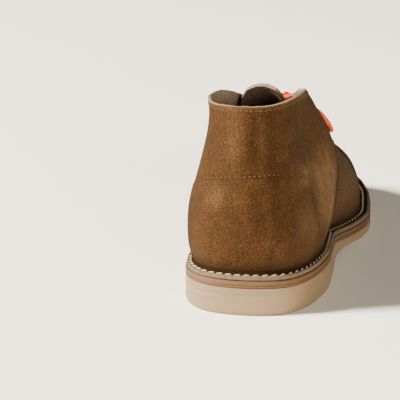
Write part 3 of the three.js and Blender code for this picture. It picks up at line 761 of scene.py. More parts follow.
# place from the back of the heel, share up the rib, reach each way, and height in millimetres
FOLDS = [
    (-0.1, 0.82, 0.32, 0.2, 0.5), (0.42, 0.80, 0.26, 0.2, -0.95), (0.5, 0.36, 0.2, 0.18, -0.9),
    (0.85, 0.17, 0.3, 0.12, 0.4), (1.25, 0.645, 0.6, 0.045, -0.8), (2.25, 0.55, 0.5, 0.07, 0.8),
    (3.22, 0.37, 0.24, 0.14, 1.5), (4.3, 0.36, 0.4, 0.2, -1.2), (2.6, 0.4, 0.3, 0.16, -0.5),
    (-0.75, 0.43, 0.4, 0.13, 0.5), (-0.2, 0.6, 0.7, 0.05, -0.4), (1.7, 0.24, 0.4, 0.1, -0.5),
    (-1.6, 0.75, 0.7, 0.16, -0.5), (-3.6, 0.55, 0.5, 0.2, -0.8), (-4.3, 0.35, 0.5, 0.2, 0.6),
    (2.9, 0.76, 0.4, 0.12, -0.5), (1.9, 0.84, 0.4, 0.1, 0.5),
]
# where the vamp bends: distance from the heel, bow forwards at the sides, and depth in millimetres
FLEX_CREASES = [(188, 9, 0.7), (199, 12, 1.0), (211, 14, 0.85), (223, 16, 0.5)]
# where the nap is brushed up and lighter, partly a painted highlight: place, share, reach each way, and how strongly
BRUSHED_AND_HIGHLIT = [
    (3.22, 0.37, 0.45, 0.2, 1.5), (2.35, 0.555, 0.6, 0.06, 0.7), (2.1, 0.27, 0.5, 0.12, 0.4),
    (5.3, 0.28, 0.5, 0.2, 0.4), (0.85, 0.16, 0.3, 0.12, 0.1), (6.6, 0.4, 1.2, 0.3, 0.45),
    (-0.35, 0.8, 0.3, 0.2, 0.2),
]
COUNTER_LINE = [(-2.9, 0.455), (-2.3, 0.49), (-1.72, 0.52), (-1.27, 0.553), (-0.52, 0.573), (0.25, 0.584),
                (0.85, 0.588), (1.48, 0.576), (1.9, 0.556), (2.58, 0.508), (2.9, 0.47)]
# where the counter ends, how far it stands out, and how deep its stitches lie, in millimetres
COUNTER_ENDS, COUNTER_STEP, COUNTER_GROOVE = 2.75, 0.4, 0.3
# the mesh's places from the heel forwards: first, last and how many
PLACES_TO_FACING = [(0, 2.7, 40), (2.7, 3.15, 8), (3.15, 3.75, 18)]
PLACES_TO_SEAM, PLACES_TO_TOE = 22, 72
# the rounded cut edge of the flange: distance back from its rim, and share of its thickness
FLANGE_RIM = [(0.3, 0.02), (0.05, 0.12), (0.0, 0.35), (0.05, 0.62), (0.15, 0.84), (0.45, 0.97)]
# shares of the flange's top from its crease to its rim, with the groove for its stitches at one of them
FLANGE_TOP = [0.85, 0.68, 0.5, 0.32, 0.15, 0.0]
GROOVE_AT, GROOVE_REACH, GROOVE_DEPTH, RIM_ROUNDING = 0.32, 0.2, 0.35, 0.9
# shares of the wall's height: its start above the crease, and its rows below the top edge
WALL_STARTS, WALL_EVEN_TO, WALL_ROWS, LAST_ROWS = 0.045, 0.93, 58, [0.955, 0.975, 0.99, 1.0]
INSIDE_ROWS, INSIDE_ENDS = 30, 0.03
# the rounded top edge: share of the leather's thickness, and height
TOP_CROWN = [(0.06, 0.2), (0.28, 0.38), (0.5, 0.42), (0.72, 0.38), (0.94, 0.2)]
# the cut edges' roughness: seed, and depth in millimetres
FLANGE_ROUGHNESS, TOP_ROUGHNESS = (11, 0.16), (23, 0.14)
# places of the eyelets, their distance below the facing's edge, and the length of a punch in metres
EYELETS_AT, EYELETS_BELOW, PUNCH_LENGTH = (3.98, 4.46), 10.0, 0.012


def bell(value, middle, reach):
    return np.exp(-(((value - middle) / reach) ** 2))


def counter_share(place):
    line = np.array(COUNTER_LINE)
    return np.interp(place, line[:, 0], line[:, 1])


def on_counter(place):
    """1 on the counter, and 0 past its ends"""
    return 1 - smooth((np.abs(place) - COUNTER_ENDS + 0.4) / 0.5)


def relief(at, share):
    """How far the real surface, with its wear, stands off the plain one, in millimetres"""
    place = signed(at)
    height = np.zeros(len(place))
    for middle, up, reach, rise, out in FOLDS:
        height += out * bell(place, middle, reach) * bell(share, up, rise)
    above = share - counter_share(place)
    step = (1 - smooth((above + 0.012) / 0.02)) * smooth((above + 0.3) / 0.25)
    height += on_counter(place) * (COUNTER_STEP * step - COUNTER_GROOVE * bell(above, 0.002, 0.006))
    x, y, z = last_surface(at, share).T
    vamp = smooth((np.abs(place) - SEAM_AT - 0.3) / 0.8)
    vamp = vamp * smooth((share - 0.12) / 0.15) * (1 - smooth((share - 0.86) / 0.1))
    for middle, bow, depth in FLEX_CREASES:
        line = middle - bow * (x / 45) ** 2 + 1.5 * np.sin(x / 9 + middle)
        height += vamp * depth * (0.45 * bell(y, line + 4, 3.2) - bell(y, line, 1.5))
    wide, close = np.sin(x / 7.3 + 1.1) * np.sin(z / 8.1), np.sin(y / 5.2 + z / 6.7) * np.cos(x / 5.9)
    height += 0.22 * wide + 0.16 * close
    return height * smooth((share - 0.02) / 0.08) * (1 - smooth((share - 0.93) / 0.07))


def outer_wall(at, share, lift=0.0):
    return off_last(at, share, relief(at, share) - outer_depth(at) + lift)


def upper_places(settings):
    def places(first, last, count, endpoint=True):
        return np.linspace(first, last, int(count * settings.fineness), endpoint=endpoint)

    half = [places(*part, endpoint=False) for part in PLACES_TO_FACING]
    half.append(places(PLACES_TO_FACING[-1][1], SEAM_AT, PLACES_TO_SEAM))
    half.append(places(SEAM_AT + SEAM_SHARPNESS, TOE_AT, PLACES_TO_TOE))
    half = np.concatenate(half)
    return np.concatenate([half, mirrored(half[-2::-1])])


def cut_edge(at, seed, depth):
    """The unevenness of a cut edge, the same at both ends of the round"""
    values = np.random.default_rng(seed).normal(size=len(at) - 1)
    soft = (np.roll(values, 1) + 2 * values + np.roll(values, -1)) / 4
    soft = np.append(soft, soft[0])
    return np.clip(soft * depth, -1.5 * depth, 1.5 * depth)


def painted_shade_and_highlight(place, share, stands):
    """How much painted shade the outer wall gets at some places, in its crease, dents, counter groove and seam step,
    and how much lighter nap and painted highlight, from how far they stand out
    """
    # painted shade along the seam step, low on the wall, in the counter's groove and in dents
    seam = 0.7 * bell(np.abs(place), SEAM_AT + 0.06, 0.05)
    base = 0.42 * (1 - smooth((share - WALL_STARTS) / 0.07))
    line = 0.45 * on_counter(place) * bell(share, counter_share(place) + 0.004, 0.008)
    sunk = 0.25 * smooth((-stands - 0.3) / 0.8)
    # lighter where the nap stands proud or is brushed, partly a painted highlight
    proud = 0.5 * smooth((stands - 0.35) / 0.7) + 0.35 * smooth((share - 0.97) / 0.03)
    for middle, up, reach, rise, amount in BRUSHED_AND_HIGHLIT:
        proud = proud + amount * bell(place, middle, reach) * bell(share, up, rise)
    return np.clip(seam + base + line + sunk, 0, 1), np.clip(proud, 0, 1)


def upper_rows(settings):
    """The upper's rows from the inside of the flange round over the top edge and down the inside"""
    at = upper_places(settings)
    place, foot, out = signed(at), feather(at), -inwards(at)
    outer, inner = outer_depth(at), inner_depth(at)
    width = FEATHER_AT_HEEL + (FEATHER_AT_TOE - FEATHER_AT_HEEL) * wedge(sole_edge(at)[:, 1])
    rows = []

    def from_foot(distance, height, more=0.0):
        points = foot + out * distance[:, None]
        points[:, 2] = height(points[:, 1]) + more
        return points

    def level(share):
        return np.full(at.shape, share)

    # each row carries its flesh share, its painted shade, and its lighter brushed nap with painted highlight
    def add(points, flesh=0.0, shade=0.0, rubbed=0.0):
        rows.append((points, *(np.broadcast_to(value, at.shape) for value in (flesh, shade, rubbed))))

    rim = width - FLANGE_SETBACK + cut_edge(at, *FLANGE_ROUGHNESS)
    # painted shade under the flange, on its rim and on its top towards the crease
    for share in (0.0, 0.5):
        add(from_foot(-inner + (rim + inner) * share, flange_bottom), 1, 0.4)
    for back, up in FLANGE_RIM:
        add(from_foot(rim - back, flange_bottom, FLANGE_THICKNESS * up), 0.5, 0.15)
    start = CREASE_RADIUS - outer
    for share in FLANGE_TOP:
        groove = -GROOVE_DEPTH * bell(share, GROOVE_AT, GROOVE_REACH)
        points = from_foot(start + (rim - RIM_ROUNDING - start) * share, flange_top, groove)
        add(points, 0.6 * (share > 0.7), 0.35 + 0.6 * (1 - share))
    first, corner = from_foot(start, flange_top), from_foot(-outer, flange_top)
    wall = outer_wall(at, level(WALL_STARTS))
    # painted shade in the crease at the foot of the wall
    for t in (0.25, 0.5, 0.75):
        add(first * (1 - t) ** 2 + corner * 2 * t * (1 - t) + wall * t**2, 0, 1.0)
    for share in [*np.linspace(WALL_STARTS, WALL_EVEN_TO, int(WALL_ROWS * settings.fineness)), *LAST_ROWS]:
        shares = level(share)
        add(outer_wall(at, shares), 0, *painted_shade_and_highlight(place, share, relief(at, shares)))
    top_out, top_in = outer_wall(at, level(1.0)), off_last(at, level(1.0), -inner)
    rise = unit(last_surface(at, level(1.0)) - last_surface(at, level(0.98)))
    ragged = cut_edge(at, *TOP_ROUGHNESS)
    # painted shade on the top edge's cut face
    for share, crown in TOP_CROWN:
        add(top_out + (top_in - top_out) * share + rise * (crown + ragged)[:, None], 1, 0.2)
    # painted shade, deeper down the inside
    for share in np.linspace(1.0, INSIDE_ENDS, int(INSIDE_ROWS * settings.fineness)):
        shares = level(share)
        add(off_last(at, shares, relief(at, shares) * 0.6 - inner), 1, 0.35 * (1 - share))
    rows.append(rows[0])
    return rows


def eyelet_places():
    for at in EYELETS_AT:
        for place in (at, mirrored(at)):
            place = np.array([place])
            share = share_below_edge(place, EYELETS_BELOW)
            yield last_surface(place, share)[0], last_normal(place, share)[0]


def frame_matrix(centre, x_axis, z_axis):
    """A matrix from a place and two directions, in metres in the row frame"""
    z_axis = unit(np.asarray(z_axis, float))
    x_axis = unit(np.asarray(x_axis, float) - z_axis * np.dot(x_axis, z_axis))
    y_axis = np.cross(z_axis, x_axis)
    turn = Matrix(np.stack([x_axis, y_axis, z_axis], axis=1).tolist()).to_4x4()
    return Matrix.Translation(Vector(metres(centre))) @ turn


def eyelet_punches(settings):
    deselect()
    bpy.ops.mesh.primitive_cylinder_add(vertices=24, radius=settings.eyelet_diameter / 2, depth=PUNCH_LENGTH)
    places = [frame_matrix(centre, (0, 0, 1), normal) for centre, normal in eyelet_places()]
    return repeated(bpy.context.active_object, places, "punches")


class BOOT_OT_upper(bpy.types.Operator):
    """Build the suede upper with its flange, surface dented by wear, seams and punched eyelets"""

    bl_idname = "boot.upper"
    bl_label = "Suede upper"

    def execute(self, context):
        settings = context.scene.boot_suede
        points, flesh, shade, rubbed = (np.array(values) for values in zip(*upper_rows(settings)))
        upper = shaped_grid("suede_upper", metres(points), flesh=flesh, shade=shade, rubbed=rubbed)
        punches = eyelet_punches(settings)
        apply_modifier(upper, "BOOLEAN", operation="DIFFERENCE", solver="EXACT", object=punches)
        bpy.data.objects.remove(punches)
        smooth_shade(upper, 55)
        finished(upper, suede_finish(settings), "suede", "upper")
        return {"FINISHED"}


# the way that the tongue's suede side faces, and its low waves in metres
TONGUE_FACES = (0, 0.55, 0.84)
TONGUE_WAVE_HEIGHT, TONGUE_WAVE_ALONG, TONGUE_WAVE_ACROSS = 0.00025, 0.0061, 0.0047


class BOOT_OT_tongue(bpy.types.Operator):
    """Build the soft tongue from its solid"""

    bl_idname = "boot.tongue"
    bl_label = "Tongue"

    def execute(self, context):
        tongue = copy_of_node("tongue", "suede_tongue")
        apply_modifier(tongue, "SUBSURF", levels=3, render_levels=3)
        mesh = tongue.data
        places, normals = vertex_values(mesh, "co"), vertex_values(mesh, "normal")
        wave = np.sin(places[:, 1] / TONGUE_WAVE_ALONG) * np.sin(places[:, 0] / TONGUE_WAVE_ACROSS + 0.6)
        move_vertices(mesh, places + normals * TONGUE_WAVE_HEIGHT * wave[:, None])
        outwards = normals @ unit(np.array(TONGUE_FACES))
        set_attribute(mesh, "flesh", 1 - smooth((outwards - 0.25) / 0.3))
        # painted shade on the tongue's back side and low down inside the boot
        within = 1 - smooth((outwards + 0.9) / 0.2)
        set_attribute(mesh, "shade", np.maximum(0.6 * within, 0.25 * smooth((0.07 - places[:, 2]) / 0.02)))
        set_attribute(mesh, "rubbed", np.zeros(len(places)))
        smooth_shade(tongue, 60)
        finished(tongue, bpy.data.materials["brushed_suede"], "tongue_leather", "tongue")
        return {"FINISHED"}


# Sole layers: share of the layer's height and inset from the sole's edge, from the bottom up
MIDSOLE_SIDE = [
    (0.0, 0.25), (0.05, 0.04), (0.15, 0.0), (0.3, 0.0), (0.34, 0.28), (0.38, 0.28), (0.42, 0.0),
    (0.6, 0.0), (0.8, 0.02), (0.93, 0.12), (1.0, 0.45),
]
OUTSOLE_SIDE = [
    (0.0, 1.6), (0.012, 1.1), (0.035, 0.6), (0.08, 0.22), (0.16, 0.0), (0.3, 0.0), (0.45, 0.0),
    (0.6, 0.0), (0.7, 0.0), (0.715, 0.08), (0.73, 0.12), (0.745, 0.08), (0.76, 0.0), (0.88, 0.0),
    (0.97, 0.0), (1.0, 0.15),
]
# stations from heel to toe, and steps across a plain face and across the tread
MIDSOLE_STATIONS, OUTSOLE_STATIONS, PLAIN_STEPS, TREAD_STEPS = 220, 330, 6, 40
# how much darker the foot of the side is, and how dirty the underside is
SIDE_FOOT_DARKER, UNDER_WORN = 0.35, 0.3
# the grooves' sway, its length across the sole, and how far they stay from the rim, in millimetres
TREAD_SWAY, TREAD_WAVE, TREAD_MARGIN = 1.6, 21, 5


def even_places(count):
    """Places from heel to toe that are evenly spaced along the sole's edge"""
    at = np.linspace(0, TOE_AT, 2401)
    lengths = [np.linalg.norm(np.diff(sole_edge(side), axis=0), axis=1) for side in (at, mirrored(at))]
    total = np.concatenate([[0], np.cumsum(sum(lengths))])
    ends = smooth(np.linspace(0, 1, count)) * 0.3 + np.linspace(0, 1, count) * 0.7
    return np.interp(ends * total[-1], total, at)


def sole_layer(name, levels, bottom, top, stations, bottom_steps, under=None):
    """A layer of the sole: round its section at each station from heel to toe"""
    at = even_places(stations)
    length = np.concatenate([[0], np.cumsum(np.linalg.norm(np.diff(sole_edge(at), axis=0), axis=1))]) * MM
    columns = []

    def add(points, along, up, worn):
        uvs = np.stack([along, np.full(len(at), up)], axis=1)
        columns.append((points, uvs, np.broadcast_to(worn, at.shape)))

    def side_points(side, share, inset):
        return inset_edge(side, inset, lambda y: bottom(y) + (top(y) - bottom(y)) * share)

    def wall(side, levels, along):
        for share, inset in levels:
            add(side_points(side, share, inset), along, share, SIDE_FOOT_DARKER * (1 - smooth(share / 0.15)))

    def across(level, steps, height, dent, worn):
        first, last = (side_points(side, *level) for side in (at, mirrored(at)))
        for share in steps:
            points = first * (1 - share) + last * share
            points[:, 2] = height(points[:, 1])
            rim = min(share, 1 - share) * np.linalg.norm(last - first, axis=1)
            if dent:
                points[:, 2] += dent(points, rim)
            add(points, length, share * 0.1 + 2, worn * smooth(rim / 12))

    wall(at, levels, length)
    across(levels[-1], np.linspace(0, 1, PLAIN_STEPS + 2)[1:-1], top, None, 0)
    wall(mirrored(at), levels[::-1], length + 1)
    across(levels[0], np.linspace(1, 0, bottom_steps + 2)[1:-1], bottom, under, UNDER_WORN)
    columns.append(columns[0])
    points, uvs, worn = (np.stack(values, axis=1) for values in zip(*columns))
    piece = shaped_grid(name, metres(points), uvs, worn=worn)
    smooth_shade(piece, 50)
    return piece


def tread(depth, pitch):
    """Shallow wavy grooves cut up into the sole, clear of its rim"""
    def dent(points, rim):
        wave = np.mod((points[:, 1] + TREAD_SWAY * np.cos(points[:, 0] * 2 * np.pi / TREAD_WAVE)) / pitch, 1)
        groove = 1 - smooth((np.abs(wave - 0.5) - 0.16) / 0.12)
        return depth * groove * smooth((rim - TREAD_MARGIN) / 1.5)
    return dent


class BOOT_OT_sole(bpy.types.Operator):
    """Build the midsole and the wedge outsole, and finish the insole"""

    bl_idname = "boot.sole"
    bl_label = "Sole"

    def execute(self, context):
        settings = context.scene.boot_sole
        midsole = sole_layer("leather_midsole", MIDSOLE_SIDE, midsole_bottom, midsole_top, MIDSOLE_STATIONS,
                             PLAIN_STEPS)
        leather = leather_finish("midsole_leather", settings.midsole_colour, settings, layers=True)
        finished(midsole, leather, "midsole_leather", "midsole")
        dent = tread(settings.tread_depth / MM, settings.tread_pitch / MM)
        outsole = sole_layer("rubber_outsole", OUTSOLE_SIDE, outsole_bottom, outsole_top, OUTSOLE_STATIONS,
                             TREAD_STEPS, dent)
        finished(outsole, rubber_finish(settings), "outsole_rubber", "outsole")
        insole = frame["nodes"]["insole"]
        insole.data.materials.clear()
        insole.data.materials.append(leather_finish("insole_leather", settings.insole_colour, settings))
        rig.slot(insole, "insole_leather")
        return {"FINISHED"}


# Stitches: a stitch's half height as a share of its width, and how far their headings wander
STITCH_HEIGHT, STITCH_DRIFT = 0.4, 0.045
# the flange's stitches: share of the pitch, slant, and depth of the ends in metres
FLANGE_STITCH, FLANGE_SLANT, FLANGE_DIP = 0.88, 0.36, 0.0006
# the flange's row in millimetres: how far out of the crease, and over the flange
FLANGE_OUT, FLANGE_LIFT = 0.25, 0.1
# the fine stitches: the same share and depth, and their lift off the leather in millimetres
FINE_STITCH, FINE_DIP, FINE_LIFT = 0.72, 0.0003, 0.05
# share of the height that the counter's row stands above its line, and place where the collar's row ends
COUNTER_ABOVE, COLLAR_ENDS = 0.006, 4.55
# the seam's rows: name and distance behind the quarter's front edge
SEAM_ROWS = [("front", 2.2), ("rear", 5.2)]
SEAM_STEP, SEAM_SHARES = 0.1, (0.07, 0.94)


def stitch_model(length, width, dip):
    """One stitch that rises out of its hole, lies flat and goes down again"""
    deselect()
    bpy.ops.mesh.primitive_uv_sphere_add(segments=8, ring_count=7, radius=0.5)
    model = bpy.context.active_object
    mesh = model.data
    mesh.transform(Matrix.Rotation(np.pi / 2, 4, "Y"))
    x, y, z = vertex_values(mesh, "co").T * 2
    full = np.sqrt(np.clip(1 - np.abs(x) ** 3, 0.0, 1))
    full = full / np.maximum(np.sqrt(np.clip(1 - x**2, 1e-6, 1)), 1e-3)
    full = np.where(np.abs(x) > 0.999, 1, full)
    height = z * full * width * STITCH_HEIGHT - dip * np.abs(x) ** 3
    move_vertices(mesh, np.stack([x * length / 2, y * full * width / 2, height], axis=1))
    return model


def stitch_row(name, line, pitch, length, width, slant=0.0, dip=FINE_DIP):
    """Stitches at an even pitch along a line of places, each with the way out of the surface there"""
    points, normals = line
    reach = np.concatenate([[0], np.cumsum(np.linalg.norm(np.diff(points, axis=0), axis=1))])
    count = int(reach[-1] / (pitch / MM))
    middles = (np.arange(count) + 0.5) * reach[-1] / count

    def value_at(values, where):
        return np.stack([np.interp(where, reach, values[:, k]) for k in range(3)], axis=1)

    centres, ways = value_at(points, middles), unit(value_at(normals, middles))
    step = 0.3 * pitch / MM
    along = unit(value_at(points, middles + step) - value_at(points, middles - step))
    sideways = np.cross(ways, along)
    drift = np.random.default_rng(len(name)).normal(scale=STITCH_DRIFT, size=count)[:, None]
    headings = along + sideways * (slant + drift)
    matrices = [frame_matrix(c, h, w) for c, h, w in zip(centres, headings, ways)]
    return repeated(stitch_model(length, width, dip), matrices, name)


def wall_line(at, share):
    return outer_wall(at, share, FINE_LIFT), last_normal(at, share)


def seam_line(centre, way, back):
    """A line up the quarter, a distance behind its front edge"""
    share = np.linspace(*SEAM_SHARES, 300)
    here, aside = (last_surface(np.full(share.shape, at), share) for at in (centre, centre + way * SEAM_STEP))
    reach = np.linalg.norm(aside - here, axis=1) / SEAM_STEP
    return wall_line(centre + way * back / np.maximum(reach, 8), share)


class BOOT_OT_stitches(bpy.types.Operator):
    """Sew the flange, the counter, the collar and facings, and the quarters to the vamp"""

    bl_idname = "boot.stitches"
    bl_label = "Stitches"

    def execute(self, context):
        settings = context.scene.boot_stitches
        at = np.linspace(0, 2 * TOE_AT, 1600)
        line = feather(at) - inwards(at) * (CREASE_RADIUS + FLANGE_OUT - outer_depth(at))[:, None]
        line[:, 2] = flange_top(line[:, 1]) + FLANGE_LIFT
        ups = np.tile([0.0, 0.0, 1.0], (len(at), 1)) - inwards(at) * 0.3
        pitch = settings.flange_pitch
        welt = stitch_row("flange_stitches", (line, unit(ups)), pitch, pitch * FLANGE_STITCH,
                          settings.flange_thread, FLANGE_SLANT, FLANGE_DIP)
        finished(welt, thread_finish("flange_thread", settings.flange_colour), "suede")
        fine = thread_finish("fine_thread", settings.fine_colour)
        place = np.linspace(-COUNTER_ENDS, COUNTER_ENDS, 300)
        at = np.mod(place, 2 * TOE_AT)
        lines = {"counter_stitches": wall_line(at, counter_share(place) + COUNTER_ABOVE)}
        at = np.mod(np.linspace(-COLLAR_ENDS, COLLAR_ENDS, 500), 2 * TOE_AT)
        lines["edge_stitches"] = wall_line(at, share_below_edge(at, settings.edge_distance / MM))
        for side, centre, way in (("lateral", SEAM_AT, -1), ("medial", mirrored(SEAM_AT), 1)):
            for row, back in SEAM_ROWS:
                lines[f"seam_{row}_{side}"] = seam_line(centre, way, back)
        for name, line in lines.items():
            pitch = settings.fine_pitch
            finished(stitch_row(name, line, pitch, pitch * FINE_STITCH, settings.fine_thread), fine, "suede")
        return {"FINISHED"}


# Lace

BRAID_STRANDS, BRAID_TURNS, BRAID_DEPTH = 3, 2.4, 0.07
# every so many places of a cord's centreline go into its path
PATH_STEP = 4
KNOT = (1.23, -40.49, 97.63)
# the lace's run in millimetres, from the knot in and out of the lateral eyelets, over the bar and back
LACING = [
    (6.02, -41.08, 96.63), (14.07, -41.86, 99.04), (20.00, -42.69, 96.54), (22.38, -43.86, 93.79),
    (20.59, -45.37, 91.22), (21.54, -41.35, 86.84), (22.53, -37.01, 83.88), (21.93, -32.38, 81.94),
    (18.25, -26.61, 82.28), (19.56, -25.09, 85.11), (16.80, -23.82, 87.35), (10.49, -22.95, 88.66),
    (0.90, -22.97, 89.21),
    (-8.69, -22.99, 88.59), (-14.81, -24.34, 86.53), (-17.08, -25.89, 83.68), (-14.99, -27.08, 81.17),
    (-17.83, -33.26, 79.42), (-18.22, -37.91, 80.75), (-17.07, -41.90, 83.81), (-16.21, -45.83, 88.23),
    (-18.89, -45.05, 90.30), (-17.21, -43.72, 94.06), (-11.90, -42.46, 97.97), (-3.55, -41.08, 96.63),
]
LOOPS = {
    "lateral": [
        (4.43, -36.49, 97.75), (8.51, -31.95, 96.63), (12.04, -26.45, 93.02), (17.37, -23.21, 91.03),
        (22.42, -21.94, 87.56), (26.29, -21.71, 82.83), (29.63, -21.06, 78.60), (31.76, -22.62, 76.63),
        (33.31, -26.97, 76.50), (33.68, -31.46, 78.00), (33.12, -35.68, 81.10), (30.80, -37.49, 85.03),
        (27.50, -37.79, 88.57), (22.86, -35.39, 90.96), (17.30, -33.53, 92.97), (12.78, -33.63, 94.84),
        (10.47, -37.41, 97.77), (6.83, -38.95, 99.73),
    ],
    "medial": [
        (-1.96, -36.49, 97.75), (-6.05, -31.95, 96.63), (-10.27, -26.48, 92.80), (-15.66, -23.77, 90.22),
        (-20.43, -23.19, 85.82), (-23.59, -23.48, 80.08), (-26.41, -23.37, 74.74), (-28.06, -25.37, 71.79),
        (-29.07, -30.10, 70.46), (-29.24, -34.70, 71.17), (-28.73, -38.77, 74.09), (-26.68, -40.03, 79.10),
        (-23.76, -39.65, 84.20), (-19.74, -36.46, 88.49), (-14.83, -33.91, 91.95), (-10.77, -33.70, 94.43),
        (-8.01, -37.41, 97.77), (-4.37, -38.95, 99.73),
    ],
}
ENDS = {
    "lateral": [
        (2.83, -37.19, 94.02), (4.45, -30.41, 94.13), (6.13, -23.97, 93.85), (8.51, -18.93, 90.77),
        (13.28, -15.21, 85.78), (15.57, -9.42, 80.66), (17.25, -4.66, 76.22), (18.51, 0.74, 71.70),
        (19.98, 5.61, 69.10), (20.75, 10.55, 67.11),
    ],
    "medial": [
        (-0.36, -37.19, 94.02), (-1.99, -30.41, 94.13), (-3.67, -23.97, 93.85), (-6.05, -18.93, 90.77),
        (-12.14, -15.49, 85.51), (-14.88, -9.82, 80.05), (-16.23, -4.79, 75.34), (-17.16, 1.15, 70.92),
        (-18.77, 5.93, 68.70), (-19.95, 10.57, 67.07),
    ],
}
TIP_LENGTH, TIP_OVERHANG, TIP_THICKER, TIP_PLACES = 12.0, 0.35, 0.25, 400
# the knot's turns: places, first and last angle, half its width, and its half height and depth
KNOT_PLACES, KNOT_ANGLES, KNOT_ACROSS, KNOT_ROUND = 26, (-0.7 * np.pi, 3.3 * np.pi), 1.55, (2.35, 2.15)


def knot_route():
    """Two turns round the roots of the loops, in millimetres"""
    turn = np.linspace(*KNOT_ANGLES, KNOT_PLACES)
    across = np.linspace(-KNOT_ACROSS, KNOT_ACROSS, KNOT_PLACES)
    depth, height = KNOT_ROUND
    return np.stack([across, depth * np.cos(turn), height * np.sin(turn)], axis=1) + np.array(KNOT)


def lace_tip(name, route, diameter):
    """The stiff tip over the last of a lace end"""
    centres, length = through(route, TIP_PLACES)
    keep = centres[np.linspace(0, length, TIP_PLACES) > length - TIP_LENGTH]
    keep = np.vstack([keep, keep[-1] + unit(keep[-1] - keep[-2]) * TIP_OVERHANG])
    along = np.linspace(0, 1, len(keep))
    radius = diameter / 2 * np.where(along < 0.04, 0.9 + 3 * along, 1.02)
    radius = radius * np.sqrt(np.clip(1 - np.clip((along - 0.93) / 0.07, 0, 1) ** 2, 0, 1))
    radius[0] = 0
    return shaped_grid(name, tube_points(keep, radius[:, None], np.linspace(0, 2 * np.pi, 21)))


class BOOT_OT_lace(bpy.types.Operator):
    """Lace the boot through its eyelets and tie it in a bow"""

    bl_idname = "boot.lace"
    bl_label = "Lace and bow"

    def execute(self, context):
        settings = context.scene.boot_lace
        diameter = settings.diameter
        braid, tip = lace_finish(settings), tip_finish(settings)
        lacing, _ = cord_tube("lace_run", LACING, diameter / MM)
        finished(lacing, braid, "lace_cord", "lace")
        knot, _ = cord_tube("bow_knot", knot_route(), diameter / MM)
        finished(knot, braid, "lace_cord", "lace_knot")
        for side in ("lateral", "medial"):
            route = LOOPS[side]
            loop, path = cord_tube(f"bow_loop_{side}", route, diameter / MM)
            finished(loop, braid, "lace_cord", f"lace_loop_{side}")
            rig.cord(loop, exit=path[0], length=through(route, 2)[1] * MM, diameter=diameter, far_end="knot",
                    stiffness="limp", lay="hanging", path=path)
            route = ENDS[side]
            end, path = cord_tube(f"lace_end_run_{side}", route, diameter / MM)
            aglet = lace_tip(f"lace_tip_{side}", route, diameter / MM + TIP_THICKER)
            finished(aglet, tip, "lace_cord")
            finished(end, braid, "lace_cord", f"lace_end_{side}")
            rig.cord(end, exit=path[0], length=through(route, 2)[1] * MM, diameter=diameter, far_end="fitting",
                    stiffness="limp", lay="loose", path=path, with_pieces=[aglet])
        return {"FINISHED"}


# Stage: places in metres; each light's name, place, target, and colour
CAMERA_PLACE, CAMERA_ANGLES = (0.1445, -1.0330, 0.288), (75.92, 0, 10.6)
FOCAL_LENGTH, SENSOR_WIDTH = 160.74, 36.0
KEY = ("key", (-4.5, -1.75, 2.9), (0, -0.05, 0.05), (1.0, 0.96, 0.885))
FRONT = ("front", (1.5, -2.8, 0.45), (0, 0, 0.06), (1.0, 0.94, 0.85))
FRONT_SIZE, FRONT_SHARE, ROOM_COLOUR, FLOOR_SIZE = 1.2, 0.096, (1.0, 0.985, 0.96), 14


def area_light(name, place, target, colour, size, power):
    light = bpy.data.lights.new(name, "AREA")
    light.shape, light.size, light.energy, light.color = "DISK", size, power, colour
    lamp = bpy.data.objects.new(name, light)
    bpy.context.scene.collection.objects.link(lamp)
    lamp.location = place
    lamp.rotation_euler = (Vector(target) - Vector(place)).to_track_quat("-Z", "Y").to_euler()


class BOOT_OT_stage(bpy.types.Operator):
    """Set the camera, the pale floor and the soft light from the left"""

    bl_idname = "boot.stage"
    bl_label = "Camera, floor and light"

    def execute(self, context):
        settings = context.scene.boot_stage
        lens = bpy.data.cameras.new("photo_camera")
        lens.lens, lens.sensor_width, lens.clip_start, lens.clip_end = FOCAL_LENGTH, SENSOR_WIDTH, 0.02, 50.0
        camera = bpy.data.objects.new("photo_camera", lens)
        context.scene.collection.objects.link(camera)
        camera.location = CAMERA_PLACE
        camera.rotation_euler = np.radians(CAMERA_ANGLES)
        context.scene.camera = camera
        deselect()
        bpy.ops.mesh.primitive_plane_add(size=FLOOR_SIZE)
        floor = context.active_object
        floor.name = floor.data.name = "floor"
        floor.data.materials.append(floor_finish(settings))
        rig.stage(floor)
        world = bpy.data.worlds.new("soft_room")
        world.use_nodes = True
        background = world.node_tree.nodes["Background"]
        background.inputs["Color"].default_value = rgba(ROOM_COLOUR)
        background.inputs["Strength"].default_value = settings.fill
        context.scene.world = world
        area_light(*KEY, settings.key_size, settings.key_power)
        area_light(*FRONT, FRONT_SIZE, settings.key_power * FRONT_SHARE)
        return {"FINISHED"}


# Settings, panel and run

def colour_choice(name, description, default):
    return FloatVectorProperty(name=name, description=description, subtype="COLOR", size=3, min=0, max=1,
                               default=default)


def length_choice(name, description, default, least, most):
    return FloatProperty(name=name, description=description, unit="LENGTH", min=least, max=most,
                         default=default)


class BootSuede(bpy.types.PropertyGroup):
    colour: colour_choice("Suede", "Colour of the suede's nap", (0.0490, 0.0217, 0.0064))
    # the colour of the brushed-up nap and of the painted highlight
    rubbed_colour: colour_choice("Rubbed suede", "Colour where the nap is brushed up", (0.15, 0.083, 0.034))
    flesh_colour: colour_choice("Flesh side", "Colour of the inside and cut edges", (0.29, 0.215, 0.145))
    eyelet_diameter: length_choice("Eyelet", "Diameter of a punched eyelet", 0.0044, 0.003, 0.006)
    fineness: FloatProperty(name="Fineness", description="How fine the upper's mesh is", default=1.0,
                            min=0.3, max=1.2)


